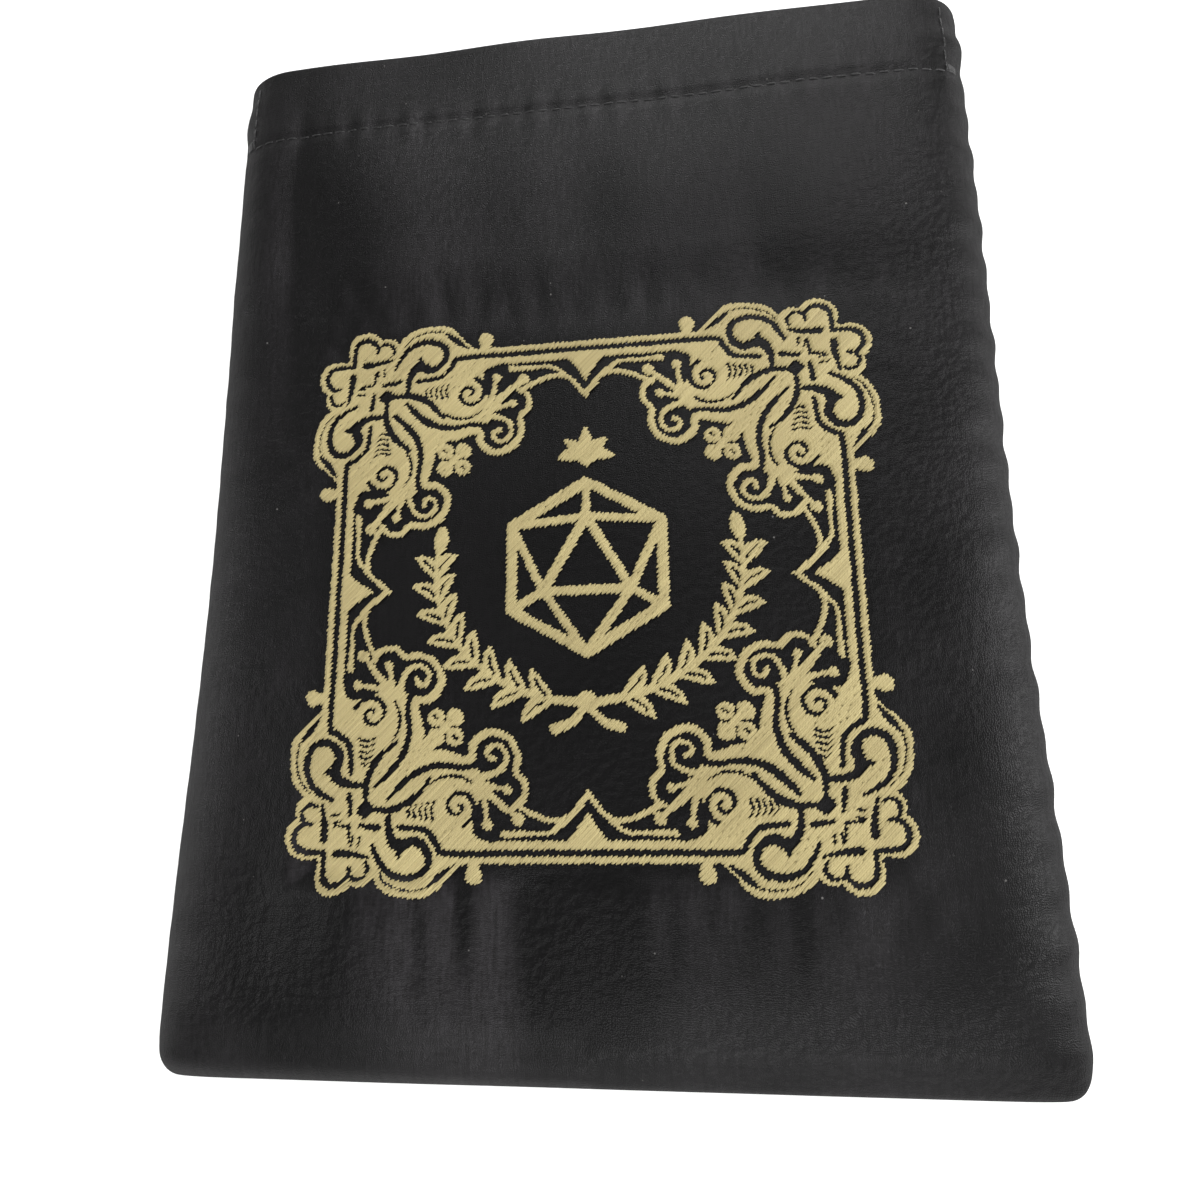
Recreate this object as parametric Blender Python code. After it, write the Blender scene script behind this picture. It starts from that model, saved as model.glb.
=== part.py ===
"""Dice bag: a flat black cotton pouch, lying on its back, with a gold embroidered square on its front.

Metres. +X runs across the bag, +Y towards its mouth, +Z up out of the surface that it lies on.
The origin is the centre of the bag's base.
"""

import math

import bpy
import numpy as np
from mathutils import Vector
from mathutils.geometry import delaunay_2d_cdt

MM = 0.001

# The bag as sewn
BAG_WIDTH = 140 * MM
BAG_LENGTH = 184 * MM
CLOTH = 1.0 * MM
AIR = 0.3 * MM
CORNER_RADIUS = 4.0 * MM

# Heights of the outer faces, with the bag lying on its back
SEAM_HEIGHT = 1.8 * MM
FIELD_HEIGHT = 7.6 * MM
MOUTH_HEIGHT = 10.0 * MM
SIDE_ROLL = 13.0 * MM
BOTTOM_ROLL = 16.0 * MM
BACK_ROLL = 4.0 * MM

# Seen colours, linear
COTTON = (0.021, 0.020, 0.021)
GOLD = (0.485, 0.408, 0.203)

# The embroidered square, and the turned-in casing at the mouth
FIELD_SIZE = 98 * MM
FIELD_CENTRE_Y = -16.0 * MM
CASING_DEPTH = 18.0 * MM
CORD_SLIT_LENGTH = 11.0 * MM
CORD_SLIT_LIFT = 1.4 * MM
CHANNEL_HEIGHT = 0.5 * MM
BACK_CASING_INSET = 1.5 * MM

HALF_WIDTH = BAG_WIDTH / 2
BOTTOM_Y = -BAG_LENGTH / 2
MOUTH_Y = BAG_LENGTH / 2
FIELD_TOP_Y = FIELD_CENTRE_Y + FIELD_SIZE / 2
CORD_SLIT_Y = MOUTH_Y - CASING_DEPTH / 2
FRONT_CASING_EDGE = 2 * (CLOTH + AIR)

# Soft dents in the front: middle, half length and half width in mm, the angle of their length from
# +X in degrees, and depth in mm, negative where the cloth stands up
DENTS = [
    {"x": -55, "y": 52, "half_length": 26, "half_width": 4.5, "angle": 92, "depth": 0.7},
    {"x": -36, "y": 54, "half_length": 24, "half_width": 15, "angle": 98, "depth": -1.2},
    {"x": 0, "y": 54, "half_length": 18, "half_width": 8.0, "angle": 94, "depth": 0.5},
    {"x": -40, "y": -70, "half_length": 18, "half_width": 10, "angle": 94, "depth": -2.0},
    {"x": -29, "y": -71, "half_length": 18, "half_width": 9.0, "angle": 93, "depth": -1.2},
    {"x": -11, "y": -70, "half_length": 18, "half_width": 5.0, "angle": 91, "depth": 0.6},
    {"x": 10, "y": -70, "half_length": 20, "half_width": 10, "angle": 88, "depth": -0.9},
    {"x": 34, "y": -70, "half_length": 18, "half_width": 9.0, "angle": 85, "depth": -0.4},
]
DENT_FADE = 3.0
# How much the cloth puffs up past the square's upper edge, and over what distance
PUFF_ABOVE = 0.9 * MM
PUFF_REACH = 13 * MM

# The embroidery: pads of thread on the cloth, over the seen outline of their stitches
PAD_THICKNESS = 0.8 * MM
PAD_SAMPLE = 0.4
PAD_TOLERANCE = 0.18
SMALLEST_OUTLINE = 0.6
FINEST_GAP = 0.72
RAIL = 44.0

# The border in mm. Each path starts from the rails' outer corner: the first figure runs along the
# rail, the second across it, inwards. Every row is sewn in both halves of all four corners. A
# band follows its path and takes its widths along it; an area fills its closed path.
BORDER = [
    # the two rails and the bud on the outer one
    {"does": "sew", "shape": "band", "path": [(20, 0.6), (46, 0.6)], "widths": [1.2]},
    {"does": "sew", "shape": "band", "path": [(20, 2.7), (46, 2.7)], "widths": [1.5]},
    {"does": "sew", "shape": "band", "path": [(26.2, 0.0), (26.2, -1.6)], "widths": [1.7, 2.8]},
    # the scrolled block that each corner's straps are worked on
    {"does": "sew", "shape": "area", "path": [
        (25.0, 0.4), (22.7, -1.3), (20.9, -3.5), (18.9, -4.8), (16.6, -4.9), (13.8, -4.5), (11.4, -3.2),
        (9.8, -0.4), (9.0, 9.0), (12.5, 16.0), (16.0, 17.2), (20.5, 16.9), (25.2, 15.6), (27.8, 12.8),
        (27.8, 10.8), (26.4, 8.5), (26.0, 4.6), (29.0, 2.9)]},
    # the two lobed loops at the very corner
    {"does": "sew", "shape": "band", "path": [(4.1, -1.1)], "widths": [6.9]},
    {"does": "sew", "shape": "band", "path": [(8.2, -0.8)], "widths": [4.8]},
    {"does": "sew", "shape": "band", "path": [(2.6, 2.6), (7.0, 7.0)], "widths": [5.4, 9.0]},
    {"does": "sew", "shape": "band", "path": [(7.0, 7.0), (7.6, 1.6)], "widths": [9.0, 4.6]},
    {"does": "leave", "shape": "band", "path": [
        (1.8, 1.8), (1.8, 0.0), (2.1, -1.9), (3.4, -3.0), (5.0, -2.9), (6.1, -1.8), (6.1, -0.5)],
     "widths": [0.7, 0.8, 0.9, 0.9, 0.75, 0.5]},
    {"does": "leave", "shape": "band", "path": [
        (6.2, -1.4), (7.3, -2.2), (8.6, -1.9), (9.2, -0.8), (8.8, 0.3)],
     "widths": [0.45, 0.6, 0.6, 0.4]},
    {"does": "leave", "shape": "band", "path": [(3.9, 1.7), (6.0, 1.6), (9.2, 1.0)],
     "widths": [1.2, 1.0, 0.4]},
    {"does": "leave", "shape": "band", "path": [(6.3, 3.0), (6.5, 4.2)], "widths": [0.3]},
    {"does": "leave", "shape": "band", "path": [(7.5, 2.8), (7.6, 4.1)], "widths": [0.3]},
    {"does": "leave", "shape": "band", "path": [(3.3, 5.9), (5.6, 5.8)], "widths": [0.3, 0.5]},
    # the knot where the straps cross
    {"does": "leave", "shape": "band", "path": [(7.7, 8.3), (9.0, 8.3)], "widths": [1.5]},
    {"does": "leave", "shape": "band", "path": [(7.6, 5.9), (10.5, 5.5)], "widths": [0.6, 0.9]},
    # the hooked scroll over the rail's end, and the rail's groove that runs on under it
    {"does": "leave", "shape": "band", "path": [
        (12.1, 7.2), (12.3, 5.0), (13.4, 3.1), (14.8, 2.9), (16.4, 3.5), (18.2, 2.6), (19.0, 0.8),
        (18.4, -0.9), (16.4, -1.9), (14.0, -1.8), (12.0, -0.8), (10.7, 0.9), (9.7, 2.8)],
     "widths": [0.8, 1.2, 1.7, 1.6, 1.4, 1.2, 1.1, 1.1, 1.0, 0.9, 0.9, 0.5]},
    {"does": "leave", "shape": "band", "path": [(14.2, 2.8), (14.2, 1.0)], "widths": [2.0, 0.3]},
    {"does": "leave", "shape": "band", "path": [
        (46, 1.6), (33, 1.6), (21.8, 1.6), (20.3, 2.8), (18.4, 5.0), (14.0, 5.6)],
     "widths": [0.9, 0.9, 0.9, 0.9, 0.7]},
    {"does": "leave", "shape": "band", "path": [(23.0, -0.2), (20.8, -1.8), (18.9, -3.4)],
     "widths": [0.3, 1.1, 0.4]},
    {"does": "leave", "shape": "band", "path": [
        (18.6, -3.5), (16.6, -3.8), (14.2, -3.4), (12.3, -2.5), (11.0, -1.0)],
     "widths": [0.12, 0.18, 0.12]},
    # the straps that leave the knot inwards
    {"does": "leave", "shape": "band", "path": [(9.8, 8.3), (12.8, 8.3), (16.2, 10.0), (18.8, 13.0)],
     "widths": [0.7, 1.1, 1.1, 0.5]},
    {"does": "leave", "shape": "band", "path": [
        (12.0, 9.8), (14.2, 12.2), (17.0, 14.2), (20.4, 15.0), (24.0, 14.6), (26.6, 15.2), (27.0, 17.0)],
     "widths": [0.6, 1.1, 1.1, 0.9, 0.8, 0.9, 0.9]},
    # the hollow that the stamens stand in, with the curl and its edge
    {"does": "leave", "shape": "area", "path": [
        (26.0, 5.4), (27.2, 3.9), (29.2, 3.3), (31.0, 4.2), (31.6, 8.0), (31.0, 12.2), (28.8, 12.0),
        (27.4, 10.6), (26.4, 8.4)]},
    {"does": "sew", "shape": "band", "path": [
        (19.0, 17.0), (21.0, 16.8), (25.2, 15.8), (25.6, 18.2), (28.2, 20.1), (31.4, 19.0), (32.8, 16.4),
        (32.6, 13.8), (34.0, 12.2), (33.9, 9.8), (32.2, 8.4)],
     "widths": [1.2, 1.3, 1.4, 1.3, 1.2, 1.1, 0.9]},
    {"does": "sew", "shape": "band", "path": [
        (26.6, 13.1), (28.6, 13.5), (30.6, 14.6), (31.0, 16.6), (29.8, 18.0), (28.2, 17.6), (27.9, 16.4),
        (29.0, 15.9)],
     "widths": [1.4, 1.0, 0.9, 0.9, 0.9, 1.0]},
    {"does": "sew", "shape": "band", "path": [(26.6, 12.0), (27.6, 9.4), (28.1, 6.4)], "widths": [1.4, 0.8]},
    {"does": "sew", "shape": "band", "path": [(28.2, 5.9)], "widths": [1.8]},
    {"does": "sew", "shape": "band", "path": [(26.4, 12.4), (29.6, 9.4), (32.4, 7.2)], "widths": [1.8, 0.9]},
    {"does": "sew", "shape": "band", "path": [(33.0, 6.6)], "widths": [2.1]},
    {"does": "sew", "shape": "band", "path": [(26.6, 12.5), (29.0, 11.6), (31.0, 11.2)],
     "widths": [1.2, 0.7]},
    {"does": "sew", "shape": "band", "path": [(31.2, 11.1)], "widths": [1.6]},
    # the thin arcs and the point at the middle of each side
    {"does": "sew", "shape": "band", "path": [
        (32.6, 8.8), (35.2, 7.4), (38.4, 6.4), (41.0, 6.9), (42.6, 8.6), (44.2, 10.6)],
     "widths": [1.0, 0.9, 1.0]},
    {"does": "sew", "shape": "band", "path": [(30.8, 4.4), (34.4, 4.5), (38.0, 4.6), (40.6, 6.4)],
     "widths": [1.2, 0.7, 0.9]},
    {"does": "sew", "shape": "area", "path": [
        (46.0, 2.0), (38.2, 2.4), (41.0, 3.6), (42.6, 5.6), (45.0, 8.6), (48, 6), (48, 3)]},
    # the stem of the rosette that stands on the diagonal
    {"does": "sew", "shape": "band", "path": [(15.0, 15.0), (18.6, 18.6)], "widths": [2.2, 2.4]},
]
VOLUTE = {"across": 23.4, "in": 8.6, "radius": 3.0, "angle": -70, "turns": -1.35, "widths": [0.4, 0.55, 0.7]}
HATCHING = {"lines": 5, "first": 19.5, "pitch": 0.95, "top": 6.6, "bottom": 9.4, "bulge": 0.4, "width": 0.32}
ROSETTE = {"at": 21.0, "petals": 4, "reach": 2.1, "petal_width": 3.1, "gap_width": 0.25, "gap_from": 1.0,
           "gap_to": 3.4, "vein_from": 1.7, "vein_to": 2.9, "vein_width": 0.16}

# The middle, in mm from the square's centre: a many-sided die between two leafy sprays
DIE = {"radius": 14.5, "middle": 3.0, "inner_share": 0.58, "outline": 1.9, "inner": 1.7, "ribs": 1.5}
SPRAY = {"half_width": 25.5, "half_height": 22.0, "middle": 2.5, "sweep": 99, "stem": [1.6, 1.2, 0.9]}
LEAVES = {"pairs": 8, "first": 0.12, "step": 0.11, "length": 6.2, "shorter": 0.15, "angle": 42, "bend": 0.8,
          "widths": [0.6, 2.0, 2.6, 2.1, 0.6], "vein": 0.32}
KNOT = {"y": -19.5, "width": 3.6, "tail": [(0, -20.0), (2.6, -22.6), (5.2, -23.6)],
        "tail_widths": [1.1, 1.5, 1.9]}
PALMETTE = {"y": 20.6, "angles": [0, 36, 72], "length": 6.4, "shorter": 0.9, "bend": 0.6,
            "widths": [0.8, 1.9, 2.5, 1.0]}


def smooth(value, start, end):
    """0 before start and 1 after end, with an S-shaped rise between."""
    share = np.clip((value - start) / (end - start), 0, 1)
    return share * share * (3 - 2 * share)


def roll(inset, reach):
    """How far a wall has risen at this inset from its edge: a quarter of a rounded square over reach."""
    share = np.clip(inset / reach, 0, 1)
    return np.sqrt(1 - (1 - share) ** 2.4)


def hump(offset, half_length):
    """1 in the middle of a stretch and 0 past its ends, with soft shoulders."""
    return np.cos(np.clip(offset / half_length, -1, 1) * math.pi / 2) ** 2


def side_half_width(y, depth):
    """Half of the bag's width at y, for a face that lies depth inside the outer one."""
    pulled_in = 1.0 * MM * hump(y - FIELD_CENTRE_Y, FIELD_SIZE * 0.7)
    radius = CORNER_RADIUS - depth
    up = np.clip(y - (BOTTOM_Y + depth), 0, radius)
    rounding = radius - np.sqrt(radius**2 - (radius - up) ** 2)
    return HALF_WIDTH - depth - pulled_in - rounding


def dent_depth(x, y):
    """How far the front is pushed in, as the sum of the table's long soft hollows."""
    total = np.zeros_like(x)
    for dent in DENTS:
        turn = math.radians(dent["angle"])
        dx = x - dent["x"] * MM
        dy = y - dent["y"] * MM
        along = (dx * math.cos(turn) + dy * math.sin(turn)) / (dent["half_length"] * MM)
        across = (dy * math.cos(turn) - dx * math.sin(turn)) / (dent["half_width"] * MM)
        total += dent["depth"] * MM * np.exp(-(along**2) - across**2)
    beside_field = smooth(np.abs(x), FIELD_SIZE / 2, FIELD_SIZE / 2 + DENT_FADE * MM)
    past_field = smooth(
        np.abs(y - FIELD_CENTRE_Y), FIELD_SIZE / 2, FIELD_SIZE / 2 + DENT_FADE * MM
    )
    return total * np.maximum(beside_field, past_field)


def front_face(x, y, depth, rim):
    """Height of the front's face that lies depth under its outer one, where its edge is at rim."""
    rise = roll(side_half_width(y, depth) - np.abs(x), SIDE_ROLL)
    rise = rise * roll(y - (BOTTOM_Y + depth), BOTTOM_ROLL)
    opened = smooth(y, FIELD_TOP_Y + 4 * MM, MOUTH_Y - CASING_DEPTH * 0.8)
    puffed = PUFF_ABOVE * smooth(y, FIELD_TOP_Y, FIELD_TOP_Y + PUFF_REACH)
    top = FIELD_HEIGHT + puffed + (MOUTH_HEIGHT - FIELD_HEIGHT - PUFF_ABOVE) * opened - depth
    return rim + (top - rim) * rise - dent_depth(x, y) * rise


def back_face(x, y, depth, rim):
    """Height of the back's face that lies depth above its outer one, which rests on the surface."""
    rise = roll(side_half_width(y, depth) - np.abs(x), BACK_ROLL)
    rise = rise * roll(y - (BOTTOM_Y + depth), BACK_ROLL)
    return rim - (rim - depth) * rise


def insets(reach, count):
    """Distances from an edge, close together where the wall turns most."""
    return [reach * (1 - math.cos(step * math.pi / 2 / count)) for step in range(count)]


def across_shares(reach, steps, middle):
    """Where the columns stand across the bag, as shares of its half width from -1 to 1."""
    edge = [1 - inset / HALF_WIDTH for inset in insets(reach, steps)]
    inner = np.linspace(-1, 1, middle + 1) * (1 - reach / HALF_WIDTH)
    return np.array([-share for share in edge] + list(inner) + edge[::-1])


def along_places(reach, steps, rows):
    """Where the rows stand along the bag, from its closed end to its mouth, with one row on the
    square's lower edge and one on its upper edge; rows are given for the three stretches."""
    edge = [BOTTOM_Y + inset for inset in insets(reach, steps)]
    ends = [BOTTOM_Y + reach, FIELD_CENTRE_Y - FIELD_SIZE / 2, FIELD_TOP_Y, MOUTH_Y]
    for start, end, count in zip(ends[:-1], ends[1:], rows):
        edge += list(np.linspace(start, end, count, endpoint=False))
    return np.array(edge + [MOUTH_Y])


def cloth_faces(shares, places, depth, height):
    """A grid of points on one face of the cloth, its closed end moved in by depth."""
    share = (places - BOTTOM_Y) / BAG_LENGTH
    y = (BOTTOM_Y + depth + (BAG_LENGTH - depth) * share)[:, None] + 0 * shares[None, :]
    x = side_half_width(y, depth) * shares[None, :]
    return np.stack([x, y, height(x, y)], axis=-1)


def sheet_object(name, upper, lower, material):
    """A closed sheet between two grids of points, the upper one facing up."""
    rows, columns = upper.shape[:2]
    count = rows * columns
    index = np.arange(count).reshape(rows, columns)
    ring = np.concatenate(
        [index[0, :-1], index[:-1, -1], index[-1, :0:-1], index[:0:-1, 0]]
    )
    after = np.roll(ring, -1)
    quads = np.stack(
        [index[:-1, :-1], index[:-1, 1:], index[1:, 1:], index[1:, :-1]], axis=-1
    ).reshape(-1, 4)
    under = quads[:, ::-1] + count
    edge = np.stack([ring, ring + count, after + count, after], axis=-1)
    points = np.concatenate([upper.reshape(-1, 3), lower.reshape(-1, 3)])
    mesh = bpy.data.meshes.new(name)
    mesh.from_pydata(points.tolist(), [], np.concatenate([quads, under, edge]).tolist())
    mesh.materials.append(material)
    mesh.shade_smooth()
    mesh.set_sharp_from_angle(angle=math.radians(50))
    made = bpy.data.objects.new(name, mesh)
    bpy.context.scene.collection.objects.link(made)


def finish(name, colour, roughness):
    """A plain surface finish."""
    material = bpy.data.materials.new(name)
    material.use_nodes = True
    shader = material.node_tree.nodes["Principled BSDF"]
    shader.inputs["Base Color"].default_value = (*colour, 1)
    shader.inputs["Roughness"].default_value = roughness
    return material


def front_rim(y):
    """Height of the front's edge: on the seam, lifted where the cord slit is left unsewn."""
    lift = CORD_SLIT_LIFT * hump(y - CORD_SLIT_Y, CORD_SLIT_LENGTH / 2)
    return SEAM_HEIGHT + AIR + lift


def front_panel(cotton):
    """The front, a cloth wall that arches over the hollow and is open at the mouth."""
    shares = across_shares(SIDE_ROLL, 5, 14)
    places = along_places(BOTTOM_ROLL, 5, (3, 7, 9))
    faces = [
        cloth_faces(
            shares, places, depth, lambda x, y, depth=depth: front_face(x, y, depth, front_rim(y))
        )
        for depth in (0, CLOTH)
    ]
    sheet_object("front_panel", *faces, cotton)


def back_panel(cotton):
    """The back, flat on the surface and turned up at its edges to meet the front's."""
    shares = across_shares(BACK_ROLL, 3, 8)
    places = along_places(BACK_ROLL, 3, (1, 6, 4))
    faces = [
        cloth_faces(
            shares, places, depth, lambda x, y, depth=depth: back_face(x, y, depth, SEAM_HEIGHT)
        )
        for depth in (CLOTH, 0)
    ]
    sheet_object("back_panel", *faces, cotton)


def channel_gap(y):
    """Air between cloth and turned-in casing: a flat cord channel, shut at the fold and the stitching."""
    return AIR + CHANNEL_HEIGHT * hump(y - CORD_SLIT_Y, CASING_DEPTH / 2)


def casing_places():
    return np.linspace(MOUTH_Y - CASING_DEPTH, MOUTH_Y, 7)


def front_casing(cotton):
    """The front's top edge, turned in under it and stitched down along its lower edge."""
    shares = across_shares(SIDE_ROLL, 5, 10)
    y = casing_places()[:, None] + 0 * shares[None, :]
    faces = []
    for layer in (0, CLOTH):
        depth = CLOTH + AIR + layer
        x = side_half_width(y, depth) * shares[None, :]
        hung = (channel_gap(y) - AIR) * roll(side_half_width(y, depth) - np.abs(x), SIDE_ROLL)
        z = front_face(x, y, depth, FRONT_CASING_EDGE) - hung
        faces.append(np.stack([x, y, z], axis=-1))
    sheet_object("front_casing", *faces, cotton)


def back_casing(cotton):
    """The back's top edge, turned in over it: a flat strip."""
    shares = np.linspace(-1, 1, 5)
    y = casing_places()[:, None] + 0 * shares[None, :]
    x = (side_half_width(y, CLOTH) - BACK_CASING_INSET) * shares[None, :]
    faces = [np.stack([x, y, CLOTH + AIR + layer + 0 * x], axis=-1) for layer in (CLOTH, 0)]
    sheet_object("back_casing", *faces, cotton)


def smooth_path(points, steps=6):
    """Points along a smooth curve through the given ones."""
    given = np.array(points, float)
    if len(given) < 3:
        return given
    ends = np.concatenate([[2 * given[0] - given[1]], given, [2 * given[-1] - given[-2]]])
    return np.concatenate([*curve_parts(ends, steps), given[-1:]])


def smooth_loop(points, steps=5):
    """Points round a smooth closed curve through the given ones."""
    given = np.array(points, float)
    around = np.concatenate([given[-1:], given, given[:2]])
    return np.concatenate(curve_parts(around, steps))


def curve_parts(points, steps):
    """Cubic pieces between the inner points, each leaving towards its neighbour's neighbour."""
    t = np.linspace(0, 1, steps, endpoint=False)[:, None]
    parts = []
    for before, start, end, later in zip(points[:-3], points[1:-2], points[2:-1], points[3:]):
        slope = end - before
        bend = 2 * before - 5 * start + 4 * end - later
        twist = 3 * start - before - 3 * end + later
        parts.append(start + 0.5 * (slope * t + bend * t**2 + twist * t**3))
    return parts


def spiral(centre, radius, angle, turns):
    """Points from a spiral's eye out to radius at angle in degrees, clockwise where turns is negative."""
    t = np.linspace(0, 1, 26)
    swing = np.radians(angle) - 2 * math.pi * turns * (1 - t)
    reach = radius * (0.12 + 0.88 * t)
    return np.stack([centre[0] + reach * np.cos(swing), centre[1] + reach * np.sin(swing)], axis=1)


def spread(values, count):
    """The values spread evenly over count places."""
    return np.interp(np.linspace(0, 1, count), np.linspace(0, 1, len(values)), values)


def to_piece(x, y, start, end):
    """Distance to a straight piece, and how far along it the nearest point lies, as a share."""
    run = end - start
    share = np.clip(((x - start[0]) * run[0] + (y - start[1]) * run[1]) / max(run @ run, 1e-9), 0, 1)
    return np.hypot(x - start[0] - share * run[0], y - start[1] - share * run[1]), share


def to_band(x, y, path, widths):
    """Distance to the edge of a band, negative inside it."""
    half = spread(widths, len(path)) / 2
    if len(path) == 1:
        return np.hypot(x - path[0][0], y - path[0][1]) - half[0]
    nearest = np.full(x.shape, 1e3)
    for start, end, thin, thick in zip(path[:-1], path[1:], half[:-1], half[1:]):
        away, share = to_piece(x, y, start, end)
        nearest = np.minimum(nearest, away - thin - (thick - thin) * share)
    return nearest


def to_area(x, y, path):
    """Distance to the edge of a closed area, negative inside it."""
    nearest = np.full(x.shape, 1e3)
    inside = np.zeros(x.shape, bool)
    for start, end in zip(path, np.roll(path, -1, axis=0)):
        nearest = np.minimum(nearest, to_piece(x, y, start, end)[0])
        rise = end[1] - start[1]
        if rise != 0:
            crossing = start[0] + (y - start[1]) * (end[0] - start[0]) / rise
            inside ^= ((start[1] > y) != (end[1] > y)) & (x < crossing)
    return np.where(inside, -nearest, nearest)


def band(does, path, widths):
    return {"does": does, "shape": "band", "path": path, "widths": widths}


def border_rows():
    """The border's table with its computed ornaments: volute, hatching and rosette."""
    rows = list(BORDER)
    centre = (VOLUTE["across"], VOLUTE["in"])
    path = spiral(centre, VOLUTE["radius"], VOLUTE["angle"], VOLUTE["turns"])
    rows.append(band("leave", path, VOLUTE["widths"]))
    middle = (HATCHING["top"] + HATCHING["bottom"]) / 2
    for line in range(HATCHING["lines"]):
        across = HATCHING["first"] - HATCHING["pitch"] * line
        shorter = 0.15 * line
        path = [
            (across, HATCHING["top"] + shorter),
            (across - HATCHING["bulge"], middle),
            (across, HATCHING["bottom"] - shorter),
        ]
        rows.append(band("leave", path, [HATCHING["width"]]))
    at = ROSETTE["at"]
    rows.append(band("sew", [(at, at)], [ROSETTE["petal_width"]]))
    for petal in range(ROSETTE["petals"]):
        turn = 2 * math.pi * (petal + 0.5) / ROSETTE["petals"]
        place = (at + ROSETTE["reach"] * math.cos(turn), at + ROSETTE["reach"] * math.sin(turn))
        rows.append(band("sew", [place], [ROSETTE["petal_width"]]))
    for gap in range(ROSETTE["petals"]):
        turn = 2 * math.pi * gap / ROSETTE["petals"]
        path = [
            (at + reach * math.cos(turn), at + reach * math.sin(turn))
            for reach in (ROSETTE["gap_from"], ROSETTE["gap_to"])
        ]
        rows.append(band("leave", path, [ROSETTE["gap_width"]]))
    for petal in range(ROSETTE["petals"]):
        turn = 2 * math.pi * (petal + 0.5) / ROSETTE["petals"]
        path = [
            (at + reach * math.cos(turn), at + reach * math.sin(turn))
            for reach in (ROSETTE["vein_from"], ROSETTE["vein_to"])
        ]
        rows.append(band("leave", path, [ROSETTE["vein_width"]]))
    return rows


def die_rows():
    """A twenty-sided die seen square on to one face: its outline, that face and the edges between."""
    def corner(share, turn):
        turn = math.radians(turn)
        reach = share * DIE["radius"]
        return (reach * math.sin(turn), DIE["middle"] + reach * math.cos(turn))

    rows = [band("sew", np.array([corner(1, 60 * step) for step in range(7)]), [DIE["outline"]])]
    face = [corner(DIE["inner_share"], 120 * step) for step in range(4)]
    rows.append(band("sew", np.array(face), [DIE["inner"]]))
    for step in range(3):
        for swing in (-60, 0, 60):
            rows.append(band("sew", [face[step], corner(1, 120 * step + swing)], [DIE["ribs"]]))
    return rows


def leaf(base, turn, length, bend):
    """A leaf's midrib from its base, bowed sideways by bend."""
    run = np.array([math.cos(turn), math.sin(turn)])
    side = np.array([-run[1], run[0]])
    t = np.linspace(0, 1, 9)[:, None]
    return np.array(base) + run * length * t + side * bend * np.sin(math.pi * t)


def spray_rows():
    """One of the two leafy sprays, from the knot under the die out and up its side."""
    def on_stem(share):
        turn = math.radians(-90 + SPRAY["sweep"] * share)
        return np.array([
            SPRAY["half_width"] * math.cos(turn), SPRAY["middle"] + SPRAY["half_height"] * math.sin(turn)
        ])

    stem = np.array([on_stem(share) for share in np.linspace(0, 1, 24)])
    rows = [band("sew", stem, SPRAY["stem"])]
    tip_run = on_stem(1) - on_stem(0.99)
    tip_turn = math.atan2(tip_run[1], tip_run[0])
    rows.append(band("sew", leaf(on_stem(1), tip_turn, LEAVES["length"] * 0.8, 0), LEAVES["widths"]))
    for pair in range(LEAVES["pairs"]):
        share = LEAVES["first"] + LEAVES["step"] * pair
        run = on_stem(share + 0.01) - on_stem(share - 0.01)
        along = math.atan2(run[1], run[0])
        length = LEAVES["length"] - LEAVES["shorter"] * pair
        for side in (1, -1):
            turn = along + side * math.radians(LEAVES["angle"])
            path = leaf(on_stem(share), turn, length, -side * LEAVES["bend"])
            rows.append(band("sew", path, LEAVES["widths"]))
            rows.append(band("leave", path[2:7], [LEAVES["vein"]]))
    rows.append(band("sew", [(0, KNOT["y"])], [KNOT["width"]]))
    rows.append(band("sew", KNOT["tail"], KNOT["tail_widths"]))
    return rows


def palmette_rows():
    """Half of the small fan of leaves over the die."""
    rows = []
    for step, angle in enumerate(PALMETTE["angles"]):
        length = PALMETTE["length"] - PALMETTE["shorter"] * step
        path = leaf((0, PALMETTE["y"]), math.radians(90 - angle), length, PALMETTE["bend"] * step)
        rows.append(band("sew", path, PALMETTE["widths"]))
    return rows


def stitched(places, rows):
    """Distance to the edge of what the rows sew and leave, in their order, negative inside it.

    The rows' mirrored halves come from places: the same samples in each half's own coordinates.
    """
    field = np.full(places[0][0].shape, 1e3)
    for row in rows:
        if row["does"] == "leave" and row["shape"] == "band" and max(row["widths"]) < FINEST_GAP:
            continue
        if row["shape"] == "area":
            path = smooth_loop(row["path"])
            away = np.min([to_area(x, y, path) for x, y in places], axis=0)
        else:
            path = row["path"] if isinstance(row["path"], np.ndarray) else smooth_path(row["path"])
            away = np.min([to_band(x, y, path, row["widths"]) for x, y in places], axis=0)
        field = np.minimum(field, away) if row["does"] == "sew" else np.maximum(field, -away)
    return field


def corner_places(x, y):
    """The samples measured from their rail corner, along and across either of its two rails."""
    along = RAIL - np.minimum(np.abs(x), np.abs(y))
    inwards = RAIL - np.maximum(np.abs(x), np.abs(y))
    return [(along, inwards), (inwards, along)]


def mirrored_places(x, y):
    """The samples folded on to the motif's right half."""
    return [(np.abs(x), y)]


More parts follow.
